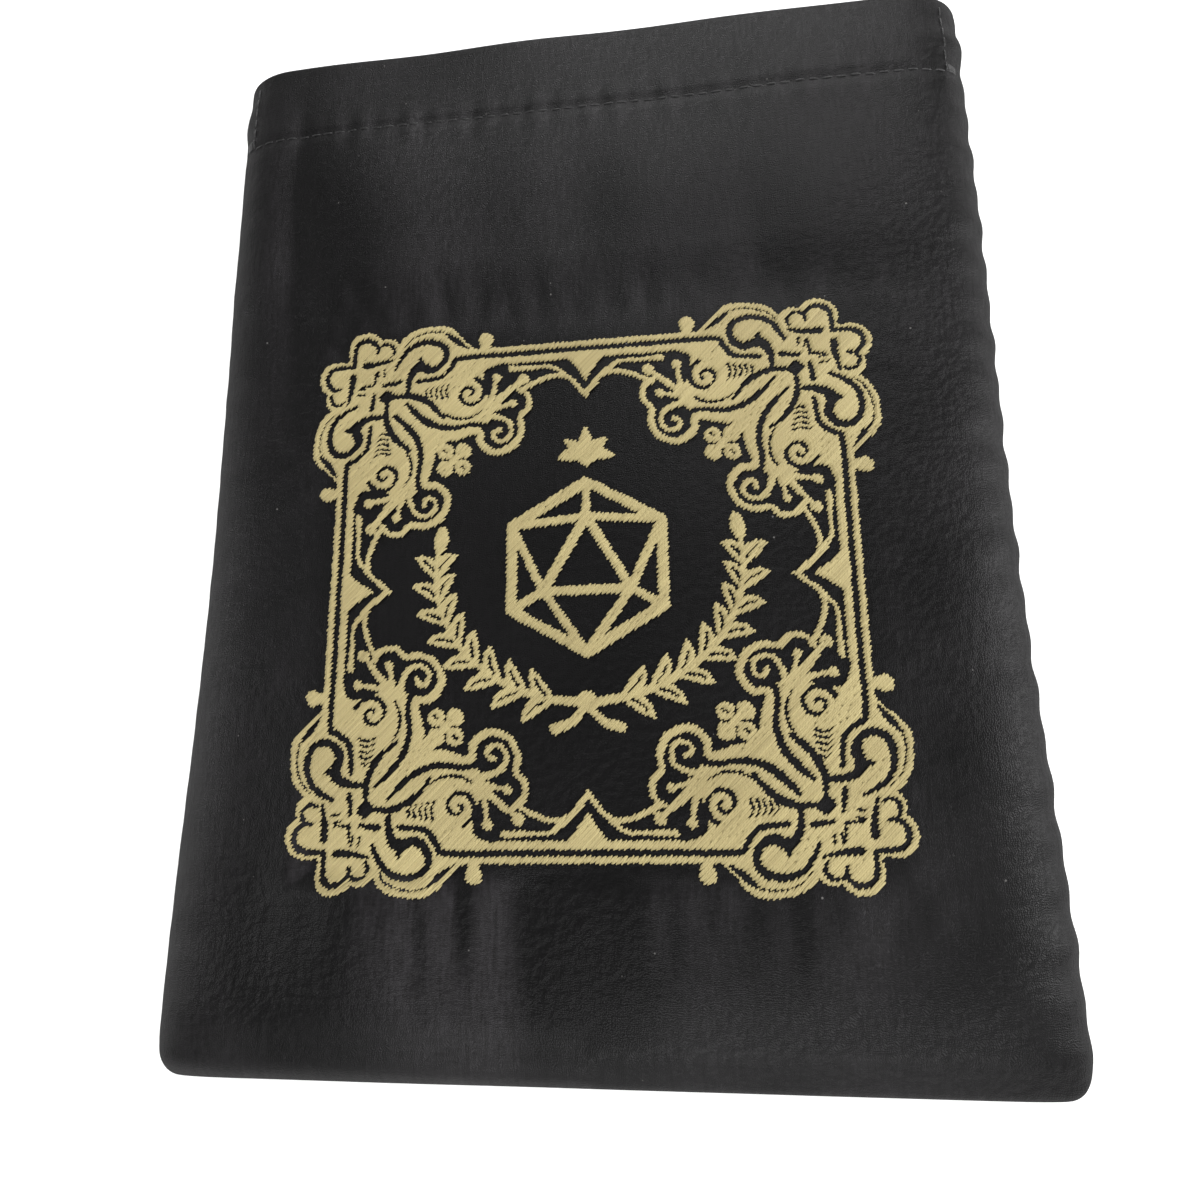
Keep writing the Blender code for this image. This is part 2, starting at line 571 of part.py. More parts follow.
def outlines(field, xs, ys):
    """Closed outlines of the field's negative side, each with that side on its left."""
    follows = {}
    places = {}
    sewn = field < 0
    mixed = sewn[:-1, :-1].astype(int) + sewn[:-1, 1:] + sewn[1:, 1:] + sewn[1:, :-1]
    for i, j in np.argwhere((mixed > 0) & (mixed < 4)):
        corners = [(i, j), (i, j + 1), (i + 1, j + 1), (i + 1, j)]
        crossings = []
        for near, far in zip(corners, corners[1:] + corners[:1]):
            if sewn[near] != sewn[far]:
                key = (min(near, far), max(near, far))
                share = field[near] / (field[near] - field[far])
                x = xs[near[1]] + (xs[far[1]] - xs[near[1]]) * share
                y = ys[near[0]] + (ys[far[0]] - ys[near[0]]) * share
                places[key] = (x, y)
                crossings.append((key, sewn[near]))
        for step, (key, leaves) in enumerate(crossings):
            if leaves:
                follows[key] = crossings[step - 1][0]
    found = []
    while follows:
        key, after = follows.popitem()
        ring = [key]
        while after != ring[0]:
            ring.append(after)
            after = follows.pop(after)
        found.append(np.array([places[key] for key in ring]))
    return found


def signed_area(ring):
    later = np.roll(ring, -1, axis=0)
    return 0.5 * np.sum(ring[:, 0] * later[:, 1] - later[:, 0] * ring[:, 1])


def thinned(path, tolerance):
    """The path without the points that lie within tolerance of a straight line between kept ones."""
    away = to_piece(path[:, 0], path[:, 1], path[0], path[-1])[0]
    far = int(np.argmax(away))
    if away[far] < tolerance:
        return path[[0, -1]]
    return np.concatenate([thinned(path[: far + 1], tolerance)[:-1], thinned(path[far:], tolerance)])


def thinned_ring(ring, tolerance):
    far = int(np.argmax(np.hypot(*(ring - ring[0]).T)))
    closed = np.concatenate([ring, ring[:1]])
    first = thinned(closed[: far + 1], tolerance)
    second = thinned(closed[far:], tolerance)
    return np.concatenate([first[:-1], second[:-1]])


def inside_rings(point, rings):
    """Whether a point lies inside an odd number of the rings."""
    count = 0
    for ring in rings:
        later = np.roll(ring, -1, axis=0)
        spans = (ring[:, 1] > point[1]) != (later[:, 1] > point[1])
        rise = np.where(spans, later[:, 1] - ring[:, 1], 1)
        crossing = ring[:, 0] + (point[1] - ring[:, 1]) * (later[:, 0] - ring[:, 0]) / rise
        count += int(np.sum(spans & (point[0] < crossing)))
    return count % 2 == 1


def pad(name, places, rows, half_width, half_height, thread):
    """A flat pad of thread as the rows sew it, on the embroidered square."""
    xs = np.arange(-half_width, half_width + PAD_SAMPLE / 2, PAD_SAMPLE)
    ys = np.arange(-half_height, half_height + PAD_SAMPLE / 2, PAD_SAMPLE)
    field = stitched(places(*np.meshgrid(xs, ys)), rows)
    rings = [thinned_ring(ring, PAD_TOLERANCE) for ring in outlines(field, xs, ys)]
    rings = [ring for ring in rings if abs(signed_area(ring)) > SMALLEST_OUTLINE]
    edges = []
    for ring in rings:
        first = len(edges)
        edges += [(first + step, first + (step + 1) % len(ring)) for step in range(len(ring))]
    given = [Vector(point) for ring in rings for point in ring]
    points, _, triangles, _, _, _ = delaunay_2d_cdt(given, edges, [], 0, 1e-6)
    kept = []
    for triangle in triangles:
        middle = sum((points[index] for index in triangle), Vector((0, 0))) / 3
        if inside_rings(middle, rings):
            kept.append(tuple(triangle))
    sides = {(a, b) for face in kept for a, b in zip(face, face[1:] + face[:1])}
    count = len(points)
    bottom = [tuple(index + count for index in reversed(face)) for face in kept]
    walls = [(a, a + count, b + count, b) for a, b in sides if (b, a) not in sides]
    low = FIELD_HEIGHT + AIR
    upper = [(point.x * MM, FIELD_CENTRE_Y + point.y * MM, low + PAD_THICKNESS) for point in points]
    lower = [(x, y, low) for x, y, z in upper]
    mesh = bpy.data.meshes.new(name)
    mesh.from_pydata(upper + lower, [], kept + bottom + walls)
    mesh.materials.append(thread)
    made = bpy.data.objects.new(name, mesh)
    bpy.context.scene.collection.objects.link(made)


def clear_scene():
    for old in list(bpy.data.objects):
        bpy.data.objects.remove(old, do_unlink=True)


def build():
    clear_scene()
    front_panel(finish("front_cotton", COTTON, 0.85))
    back_panel(finish("back_cotton", COTTON, 0.85))
    front_casing(finish("front_casing_cotton", COTTON, 0.85))
    back_casing(finish("back_casing_cotton", COTTON, 0.85))
    half = FIELD_SIZE / 2 / MM
    pad("embroidered_border", corner_places, border_rows(), half, half, finish("border_thread", GOLD, 0.5))
    pad("embroidered_die", mirrored_places, die_rows(), 17, 20, finish("die_thread", GOLD, 0.5))
    pad("embroidered_sprays", mirrored_places, spray_rows(), 33, 28, finish("spray_thread", GOLD, 0.5))
    thread = finish("palmette_thread", GOLD, 0.5)
    pad("embroidered_palmette", mirrored_places, palmette_rows(), 9, 29, thread)


build()
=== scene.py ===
"""Black cotton dice bag lying on its back, with a gold embroidered square on its front.

Metres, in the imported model's frame: +X across the bag, +Y towards its mouth, +Z up.
"""
import math

import bpy
import numpy as np
from mathutils import Matrix


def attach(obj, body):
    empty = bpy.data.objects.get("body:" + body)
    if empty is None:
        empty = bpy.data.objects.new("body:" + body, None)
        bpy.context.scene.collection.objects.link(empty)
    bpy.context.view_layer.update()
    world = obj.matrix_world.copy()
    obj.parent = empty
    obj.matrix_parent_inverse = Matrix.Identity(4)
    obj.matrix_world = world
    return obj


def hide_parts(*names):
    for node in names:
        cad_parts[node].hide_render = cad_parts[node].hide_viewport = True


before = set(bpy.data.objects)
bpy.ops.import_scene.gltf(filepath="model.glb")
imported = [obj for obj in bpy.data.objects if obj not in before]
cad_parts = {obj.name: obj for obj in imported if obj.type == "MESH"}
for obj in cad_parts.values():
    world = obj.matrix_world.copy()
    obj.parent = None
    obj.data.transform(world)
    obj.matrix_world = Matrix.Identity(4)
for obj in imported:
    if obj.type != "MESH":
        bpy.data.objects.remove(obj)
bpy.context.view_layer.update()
MM = 0.001


# Camera: close over the bag, leaning back from its lower end and to its right.
# The three turns and the offset are measured from the embroidered square's centre.

SQUARE_CENTRE = (0.0, -0.016, 0.0079)
RAIL_SQUARE = 88 * MM
CAMERA_TURNS = (-13.7, -7.5, 0.6)
CAMERA_OFFSET = (-0.025 * RAIL_SQUARE, 0.033 * RAIL_SQUARE, -1.575 * RAIL_SQUARE)
FOCAL_PIXELS = 850
PHOTO_PIXELS = 1200
SENSOR_WIDTH = 36


def turn(axis, degrees):
    """A rotation matrix about one axis: the usual cosines and sines in the other two rows."""
    c = math.cos(math.radians(degrees))
    s = math.sin(math.radians(degrees))
    a, b = [(1, 2), (2, 0), (0, 1)][axis]
    matrix = np.eye(3)
    matrix[a, a] = matrix[b, b] = c
    matrix[a, b] = -s
    matrix[b, a] = s
    return matrix


world_to_view = turn(0, CAMERA_TURNS[0]) @ turn(1, CAMERA_TURNS[1]) @ turn(2, CAMERA_TURNS[2])
camera_data = bpy.data.cameras.new("camera")
camera_data.sensor_width = SENSOR_WIDTH
camera_data.lens = SENSOR_WIDTH * FOCAL_PIXELS / PHOTO_PIXELS
camera_data.clip_start = 0.005
camera = bpy.data.objects.new("camera", camera_data)
bpy.context.scene.collection.objects.link(camera)
camera_place = np.eye(4)
camera_place[:3, :3] = world_to_view.T
camera_place[:3, 3] = np.array(SQUARE_CENTRE) - world_to_view.T @ np.array(CAMERA_OFFSET)
camera.matrix_world = Matrix(camera_place.tolist())
bpy.context.scene.camera = camera
bpy.context.scene.view_settings.view_transform = "Standard"


# Studio: a plain pale floor and even light all round, with large soft lamps past both ends of the
# bag, which show its folds, and one at either side.

FLOOR_SIZE = 3.0
LAMPS = [
    {"name": "far_window", "place": (0.06, 0.62, 0.42), "size": 0.45, "watts": 4.6},
    {"name": "near_window", "place": (0.03, -0.54, 0.51), "size": 0.45, "watts": 5.2},
    {"name": "right_fill", "place": (0.65, 0.02, 0.38), "size": 0.4, "watts": 7.5},
    {"name": "left_fill", "place": (-0.68, 0.02, 0.32), "size": 0.4, "watts": 3.0},
]


def feed(tree, node, inputs):
    """Sets a node's inputs, by name or number: each takes a constant, or a link from another step."""
    for place, value in inputs.items():
        if isinstance(value, bpy.types.NodeSocket):
            tree.links.new(value, node.inputs[place])
        elif value is not None:
            node.inputs[place].default_value = value


def new_material(name):
    """An empty material with its shader, and the tree that they stand in."""
    material = bpy.data.materials.new(name)
    material.use_nodes = True
    return material, material.node_tree, material.node_tree.nodes["Principled BSDF"]


floor_mesh = bpy.data.meshes.new("floor")
half_floor = FLOOR_SIZE / 2
floor_corners = [(half_floor * x, half_floor * y, 0) for x, y in ((-1, -1), (1, -1), (1, 1), (-1, 1))]
floor_mesh.from_pydata(floor_corners, [], [(0, 1, 2, 3)])
floor = bpy.data.objects.new("floor", floor_mesh)
bpy.context.scene.collection.objects.link(floor)
floor_paint, floor_tree, floor_shader = new_material("pale_floor")
feed(floor_tree, floor_shader, {"Base Color": (0.86, 0.86, 0.86, 1), "Roughness": 0.9})
floor_mesh.materials.append(floor_paint)

sky = bpy.data.worlds.new("studio")
sky.use_nodes = True
sky_light = sky.node_tree.nodes["Background"]
feed(sky.node_tree, sky_light, {"Color": (1.0, 0.995, 0.985, 1), "Strength": 0.2})
bpy.context.scene.world = sky

for lamp in LAMPS:
    light = bpy.data.lights.new(lamp["name"], "AREA")
    light.size = lamp["size"]
    light.energy = lamp["watts"]
    holder = bpy.data.objects.new(lamp["name"], light)
    bpy.context.scene.collection.objects.link(holder)
    holder.location = lamp["place"]
    away = np.array(lamp["place"]) / np.linalg.norm(lamp["place"])
    holder.rotation_euler = (math.acos(away[2]), 0, math.atan2(away[0], -away[1]))


# Front panel: fine black plain-weave cotton, sewn to the back at its sides and bottom and arched a
# little over the hollow. Its top edge is turned in and stitched down as a flat casing for a cord.

BAG_WIDTH = 140 * MM
BAG_LENGTH = 184 * MM
COTTON = 0.55 * MM
CORNER_RADIUS = 4.0 * MM
SEAM_Z = 1.95 * MM
SEAM_TUCK = 0.45 * MM
FIELD_HEIGHT = 7.6 * MM
MOUTH_HEIGHT = 10.0 * MM
SIDE_ROLL = 13.0 * MM
BOTTOM_ROLL = 16.0 * MM
FIELD_SIZE = 98 * MM
FIELD_Y = -16.0 * MM
CASING_DEPTH = 18.0 * MM
CORD_SLIT_LENGTH = 11.0 * MM
CORD_SLIT_LIFT = 1.4 * MM
FOLD_RADIUS = 0.5 * MM
CHANNEL_HEIGHT = 0.55 * MM
SIDE_PULL = 1.0 * MM
SIDE_PULL_REACH = FIELD_SIZE * 0.7
EDGE_POWER = 2.4
SEAM_TUCK_TURN = 0.13
GROOVE_DEPTH = 0.3 * MM
GROOVE_WIDTH = 0.9 * MM
# How many lines the cloth is worked out on, round its edges, along it, in its casing and across
FRONT_LINES = {"side": 18, "bottom": 26, "along": 186, "casing": 30, "across": 131}
HALF_WIDTH = BAG_WIDTH / 2
BOTTOM_Y = -BAG_LENGTH / 2
MOUTH_Y = BAG_LENGTH / 2
FIELD_TOP_Y = FIELD_Y + FIELD_SIZE / 2
CORD_SLIT_Y = MOUTH_Y - CASING_DEPTH / 2
CASING_STITCH_Y = MOUTH_Y - CASING_DEPTH + 1.5 * MM
FOLD_Y = MOUTH_Y - COTTON / 2 - FOLD_RADIUS

# Soft dents: middle, half length and half width in mm, angle of the length from +X in degrees,
# and depth in mm, negative where the cloth stands up
DENT_COLUMNS = ("x", "y", "half_length", "half_width", "angle", "depth")
DENTS = [
    (-55, 52, 26, 4.5, 92, 0.7),
    (-36, 54, 24, 15, 98, -1.2),
    (0, 54, 18, 8.0, 94, 0.5),
    (31, 44, 12, 5.0, 92, 0.25),
    (-40, -70, 18, 10, 94, -2.0),
    (-29, -71, 18, 9.0, 93, -1.2),
    (-11, -70, 18, 5.0, 91, 0.6),
    (10, -70, 20, 10, 88, -0.9),
    (34, -70, 18, 9.0, 85, -0.4),
    (-25.5, -65, 6, 2.6, 93, -0.25),
    (-17, -65, 7, 3.0, 91, -0.5),
]
# Short pleats, where the stitching draws the cloth in, in the same columns
PLEATS = [
    (-42, 40, 5, 1.8, 112, 0.13),
    (-26, 39, 6, 1.6, 100, 0.12),
    (-19, 38, 4, 1.4, 96, 0.09),
    (-9, 38, 6, 1.8, 92, 0.12),
    (11, 37, 5, 1.8, 88, 0.14),
    (20, 38, 4, 1.5, 86, 0.09),
    (31, 39, 6, 1.9, 91, 0.08),
    (43, 37, 4, 1.6, 75, 0.12),
    (-43, -70, 5, 1.8, 80, 0.18),
    (-27, -70, 8, 1.9, 93, 0.36),
    (-20.5, -69, 7, 1.7, 92, 0.3),
    (2, -69, 4, 1.7, 90, 0.12),
    (12, -69, 5, 1.8, 87, 0.14),
    (30, -70, 6, 2.2, 84, 0.16),
    (44, -69, 4, 1.8, 74, 0.12),
    (-54, -30, 3, 2.4, 10, -0.24),
    (-52, -44, 4, 2.0, 20, 0.18),
    (-52, 12, 4, 2.0, -15, 0.18),
]
# Half the side of the square that the stitched rails keep flat, and how far past it, in mm, the
# dents and the pleats reach their full depth
HELD_FLAT = 44.5 * MM
DENT_FADE = 4.0
PLEAT_FADE = 1.2
# How much the cloth puffs up past the square's upper edge, and over what distance
PUFF_ABOVE = 0.9 * MM
PUFF_REACH = 13 * MM
# Where it starts to rise to the mouth, and where it is fully open
RISE_Y = FIELD_TOP_Y + 4 * MM
OPEN_Y = MOUTH_Y - CASING_DEPTH * 0.8
# Painted light on the front's colour: a painted highlight, palest where the cloth falls to the right at
# this slope, towards the right-hand lamp, and painted shade where it rises and over the stitched square
FULL_PAINTED_LIGHT_SLOPE = 0.13
PAINTED_SQUARE_SHADE = 0.3
DARKEST_PAINTED_SHADE = -0.3
# Small ripples along a stitched edge, as sums of sine waves: wavelength in mm, height and phase
SQUARE_RIPPLE = [(6.1, 1.0, 0), (9.7, 0.7, 1)]
SQUARE_PUCKER = 0.035 * MM
SQUARE_PUCKER_OUT = 2.0 * MM
SQUARE_PUCKER_REACH = 3.0 * MM
CASING_RIPPLE = [(4.9, 1.0, 0), (8.3, 0.8, 2)]
CASING_PUCKER = 0.06 * MM
CASING_PUCKER_REACH = 4.0 * MM
SEAM_RIPPLE = [(7.3, 1.0, 0), (11.9, 0.6, 1.7)]
SEAM_PUCKER = 0.16 * MM
SEAM_WAVER = 0.12 * MM
# Slow swells of the whole cloth: wavelength in mm, direction in degrees, phase, height in mm. The
# stitched square keeps only a share of them
HELD_SWELL = 0.35
SWELL_FADE = 12 * MM
SWELLS = [
    {"wave": 46, "turn": 12, "phase": 0.4, "height": 0.16},
    {"wave": 31, "turn": 81, "phase": 2.1, "height": 0.12},
    {"wave": 22, "turn": 128, "phase": 4.0, "height": 0.07},
]


def smooth(value, start, end):
    """0 before start and 1 after end, with an S-shaped rise 3s^2 - 2s^3 between."""
    share = np.clip((value - start) / (end - start), 0, 1)
    return share * share * (3 - 2 * share)


def hump(offset, half_length):
    """A squared cosine: 1 in the middle of a stretch and 0 past its ends."""
    return np.cos(np.clip(offset / half_length, -1, 1) * math.pi / 2) ** 2


def bell(offset, width):
    """exp(-(offset / width)^2): 1 on a line and soft on both sides of it."""
    return np.exp(-((offset / width) ** 2))


def side_half_width(y, depth):
    """Half the bag's width at y, depth inside its outer face: pulled in beside the square, and
    rounded at the bottom corners by a quarter circle."""
    pulled_in = SIDE_PULL * hump(y - FIELD_Y, SIDE_PULL_REACH)
    radius = CORNER_RADIUS - depth
    up = np.clip(y - (BOTTOM_Y + depth), 0, radius)
    rounding = radius - np.sqrt(np.maximum(radius**2 - (radius - up) ** 2, 0))
    return HALF_WIDTH - depth - pulled_in - rounding


def swells(x, y):
    """The sum of three slow sine waves that cross each other."""
    total = 0
    for swell in SWELLS:
        turned = math.radians(swell["turn"])
        along = (x * math.cos(turned) + y * math.sin(turned)) / (swell["wave"] * MM)
        total = total + swell["height"] * MM * np.sin(2 * math.pi * along + swell["phase"])
    return total


def dent_depth(x, y, dents, fade):
    """How far the front is pushed in: a long Gaussian hollow for each row of the table, faded out
    over the embroidered square, which the stitching keeps flat."""
    total = np.zeros_like(x)
    for row in dents:
        dent = dict(zip(DENT_COLUMNS, row))
        turned = math.radians(dent["angle"])
        dx = x - dent["x"] * MM
        dy = y - dent["y"] * MM
        along = (dx * math.cos(turned) + dy * math.sin(turned)) / (dent["half_length"] * MM)
        across = (dy * math.cos(turned) - dx * math.sin(turned)) / (dent["half_width"] * MM)
        total += dent["depth"] * MM * np.exp(-(along**2) - across**2)
    return total * outside_square(x, y, fade * MM)


def outside_square(x, y, fade):
    """0 inside the stitched rails, rising smoothly to 1 within fade of them."""
    beside = smooth(np.abs(x), HELD_FLAT, HELD_FLAT + fade)
    past = smooth(np.abs(y - FIELD_Y), HELD_FLAT, HELD_FLAT + fade)
    return np.maximum(beside, past)


def ripple(along, waves):
    """The sum of height * sin(2 pi along / wavelength + phase) over the waves."""
    return sum(high * np.sin(2 * math.pi * along / (wave * MM) + phase) for wave, high, phase in waves)


def puckers(x, y):
    """Small ripples that run out from the stitched square and from the casing's stitching: sine
    waves along each edge, under a bell across it."""
    dx = np.abs(x) - FIELD_SIZE / 2
    dy = np.abs(y - FIELD_Y) - FIELD_SIZE / 2
    along = np.where(dx > dy, y, x)
    out = np.maximum(dx, dy) - SQUARE_PUCKER_OUT
    square = SQUARE_PUCKER * ripple(along, SQUARE_RIPPLE) * bell(out, SQUARE_PUCKER_REACH)
    casing = CASING_PUCKER * ripple(x, CASING_RIPPLE) * bell(y - CASING_STITCH_Y, CASING_PUCKER_REACH)
    return square + casing


def top_height(x, y):
    """The front's height away from its rounded edges: level over the square, puffed up past it and
    rising to the mouth, with dents, swells and puckers, and a groove where the casing is stitched
    down."""
    opened = smooth(y, RISE_Y, OPEN_Y)
    puffed = PUFF_ABOVE * smooth(y, FIELD_TOP_Y, FIELD_TOP_Y + PUFF_REACH)
    level = FIELD_HEIGHT + puffed + (MOUTH_HEIGHT - FIELD_HEIGHT - PUFF_ABOVE) * opened
    waves = swells(x, y) * (HELD_SWELL + (1 - HELD_SWELL) * outside_square(x, y, SWELL_FADE))
    groove = GROOVE_DEPTH * bell(y - CASING_STITCH_Y, GROOVE_WIDTH)
    pressed = dent_depth(x, y, DENTS, DENT_FADE) + dent_depth(x, y, PLEATS, PLEAT_FADE)
    return level - pressed + waves + puckers(x, y) - groove


def quarter(count):
    """The rounded edge as an angle from 0 at the seam to 90 degrees on top: how far in each line
    stands, as a share of the roll, and how far up, (1 - in)^EDGE_POWER + up^2 = 1; and how much of
    the seam's tuck it takes, a bell at the seam."""
    angle = np.linspace(0, math.pi / 2, count + 1)
    return 1 - np.cos(angle) ** (2 / EDGE_POWER), np.sin(angle), bell(angle, SEAM_TUCK_TURN)


def grid_faces(rows, columns):
    """Four-cornered faces of a rows by columns grid whose points are stored row by row."""
    index = np.arange(rows * columns).reshape(rows, columns)
    corners = [index[:-1, :-1], index[:-1, 1:], index[1:, 1:], index[1:, :-1]]
    return np.stack(corners, axis=-1).reshape(-1, 4)


def mesh_piece(name, points, corners, sizes, uv_name, uv, material):
    """A smooth piece from whole arrays: its points, the corners of all its faces in one row, how
    many corners each face takes from that row, and one UV place for each point."""
    mesh = bpy.data.meshes.new(name)
    mesh.vertices.add(len(points))
    mesh.vertices.foreach_set("co", points.astype(np.float32).ravel())
    mesh.loops.add(len(corners))
    mesh.loops.foreach_set("vertex_index", corners.astype(np.int32))
    mesh.polygons.add(len(sizes))
    mesh.polygons.foreach_set("loop_start", (np.cumsum(sizes) - sizes).astype(np.int32))
    mesh.polygons.foreach_set("use_smooth", np.ones(len(sizes), dtype=bool))
    mesh.update(calc_edges=True)
    layer = mesh.uv_layers.new(name=uv_name)
    layer.data.foreach_set("uv", uv[corners].astype(np.float32).ravel())
    mesh.materials.append(material)
    piece = bpy.data.objects.new(name, mesh)
    bpy.context.scene.collection.objects.link(piece)
    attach(piece, "root")
    return piece


def point_values(piece, name, values):
    """Keeps one number for each of the piece's points, for its material to read."""
    layer = piece.data.attributes.new(name, "FLOAT", "POINT")
    layer.data.foreach_set("value", values.astype(np.float32))


def cloth_piece(name, middle, flat, thickness, material):
    """A closed cloth from the grid of its middle: half its thickness to each side along the grid's
    normals, the cross product of its two directions, with its four edges walled."""
    rows, columns = middle.shape[:2]
    normal = np.cross(np.gradient(middle, axis=1), np.gradient(middle, axis=0))
    normal /= np.linalg.norm(normal, axis=-1, keepdims=True)
    count = rows * columns
    out = normal * thickness / 2
    points = np.concatenate([(middle + out).reshape(-1, 3), (middle - out).reshape(-1, 3)])
    faces = grid_faces(rows, columns)
    index = np.arange(count).reshape(rows, columns)
    ring = np.concatenate([index[0, :-1], index[:-1, -1], index[-1, :0:-1], index[:0:-1, 0]])
    after = np.roll(ring, -1)
    wall = np.stack([ring, ring + count, after + count, after], axis=-1)
    faces = np.concatenate([faces, faces[:, ::-1] + count, wall])
    uv = np.concatenate([flat.reshape(-1, 2), flat.reshape(-1, 2)])
    return mesh_piece(name, points, faces.ravel(), np.full(len(faces), 4), "lay", uv, material)


def step_in(tree, kind, **inputs):
    """Adds a shader node of a kind, such as TexNoise, and feeds its one-word inputs."""
    node = tree.nodes.new("ShaderNode" + kind)
    feed(tree, node, inputs)
    return node


def maths_in(tree):
    """The way to add a maths step to a shader tree: one operation on up to three inputs."""
    def maths(operation, first, second=None, third=None, clamp=False):
        """The operation's result on numbers or on other steps' results, kept to 0..1 where clamped."""
        node = step_in(tree, "Math")
        node.operation = operation
        node.use_clamp = clamp
        feed(tree, node, {0: first, 1: second, 2: third})
        return node.outputs[0]

    return maths


# Plain weave: warp and weft yarns |sin| across their width, each on top in every other cell. The
# yarns wander, and slubs, noise drawn out along either yarn, make them uneven; lint is a scatter of
# small spots, each a cell's middle. Scales are per metre of cloth
YARNS_PER_METRE = 3100
YARN_WANDER = 700
YARN_DRIFT = 1.6 * MM
COARSE_GRAIN = 1500
FINE_GRAIN = 2300
WARP_SLUBS = (1700, 220, 1)
WEFT_SLUBS = (420, 3100, 1)
WARP_SHARE = 0.7
SLUB_HEIGHT = 1.6
GRAIN_HEIGHT = 0.6
GRAIN_MOTTLE = 0.3
LINT_CELLS = 820
LINT_SHARE = 0.035
LINT_RADIUS = 0.16
weave = bpy.data.node_groups.new("plain_weave", "ShaderNodeTree")
weave.interface.new_socket("Cloth", in_out="INPUT", socket_type="NodeSocketVector")
yarn_socket = weave.interface.new_socket("Yarns per metre", in_out="INPUT", socket_type="NodeSocketFloat")
yarn_socket.default_value = YARNS_PER_METRE
for output in ("Height", "Mottle", "Lint"):
    weave.interface.new_socket(output, in_out="OUTPUT", socket_type="NodeSocketFloat")
weave_in = weave.nodes.new("NodeGroupInput")
weave_out = weave.nodes.new("NodeGroupOutput")
maths = maths_in(weave)
split = step_in(weave, "SeparateXYZ", Vector=weave_in.outputs["Cloth"])


def cloth_noise(scale, stretch=(1, 1, 1), detail=2):
    """Noise over the cloth's own lay, drawn out where stretch is small."""
    drawn = step_in(weave, "Mapping", Scale=stretch, Vector=weave_in.outputs["Cloth"])
    return step_in(weave, "TexNoise", Scale=scale, Detail=detail, Vector=drawn.outputs[0]).outputs[0]


drift = maths("MULTIPLY", maths("SUBTRACT", cloth_noise(YARN_WANDER), 0.5), YARN_DRIFT)
beat = maths("MULTIPLY", weave_in.outputs["Yarns per metre"], math.pi)
warp = maths("SINE", maths("MULTIPLY", maths("ADD", split.outputs[0], drift), beat))
weft = maths("SINE", maths("MULTIPLY", maths("SUBTRACT", split.outputs[1], drift), beat))
over = maths("MULTIPLY", warp, weft)
warp_top = maths("MULTIPLY", maths("ABSOLUTE", warp), maths("MULTIPLY_ADD", over, 0.5, 0.5))
weft_top = maths("MULTIPLY", maths("ABSOLUTE", weft), maths("MULTIPLY_ADD", over, -0.5, 0.5))
yarns = maths("MAXIMUM", warp_top, weft_top)
warp_slub = cloth_noise(1, WARP_SLUBS, 3)
weft_slub = cloth_noise(1, WEFT_SLUBS, 3)
slub = maths("MULTIPLY_ADD", warp_slub, WARP_SHARE, maths("MULTIPLY", weft_slub, 1 - WARP_SHARE))
coarse, fine = cloth_noise(COARSE_GRAIN, detail=3), cloth_noise(FINE_GRAIN, detail=3)
specks = step_in(weave, "TexVoronoi", Scale=LINT_CELLS, Vector=weave_in.outputs["Cloth"])
tint = step_in(weave, "SeparateColor", Color=specks.outputs["Color"])
rare = maths("GREATER_THAN", tint.outputs[0], 1 - LINT_SHARE)
near = maths("LESS_THAN", specks.outputs["Distance"], maths("MULTIPLY", tint.outputs[1], LINT_RADIUS))
feed(weave, weave_out, {
    "Height": maths("MULTIPLY_ADD", fine, GRAIN_HEIGHT, maths("MULTIPLY_ADD", slub, SLUB_HEIGHT, yarns)),
    "Mottle": maths("MULTIPLY_ADD", coarse, GRAIN_MOTTLE, maths("MULTIPLY", slub, 1 - GRAIN_MOTTLE)),
    "Lint": maths("MULTIPLY", maths("MULTIPLY", rare, near), tint.outputs[2]),
})


def colour_ramp(tree, value, places, colours):
    """A colour that runs from the first to the second between two places of the value."""
    ramp = step_in(tree, "ValToRGB", Fac=value)
    for element, place, colour in zip(ramp.color_ramp.elements, places, colours):
        element.position = place
        element.color = (*colour, 1)
    return ramp.outputs[0]


def own_map(tree, name):
    """The piece's own map of that name."""
    lay = step_in(tree, "UVMap")
    lay.uv_map = name
    return lay.outputs[0]


def own_value(tree, name):
    """The number of that name that the piece keeps at each of its points."""
    kept = step_in(tree, "Attribute")
    kept.attribute_name = name
    return kept.outputs["Fac"]


def placed(tree, group, **inputs):
    """A shared group, placed in a material with its own values."""
    node = step_in(tree, "Group")
    node.node_tree = group
    feed(tree, node, inputs)
    return node


COTTON_DARK = np.array([0.0018, 0.0016, 0.0017])
COTTON_PALE = np.array([0.0058, 0.0054, 0.0059])
MOTTLE_RANGE = (0.38, 0.64)
LINT_COLOUR = (0.075, 0.073, 0.070, 1)
# How strongly the painted highlight and painted shade kept at the front's points scale the cotton's colour
PAINTED_LIGHT_GAIN = 1.7
COTTON_MATT = 0.53
GRAZING_MATT = 0.45
MOTTLE_SHINE = 0.24


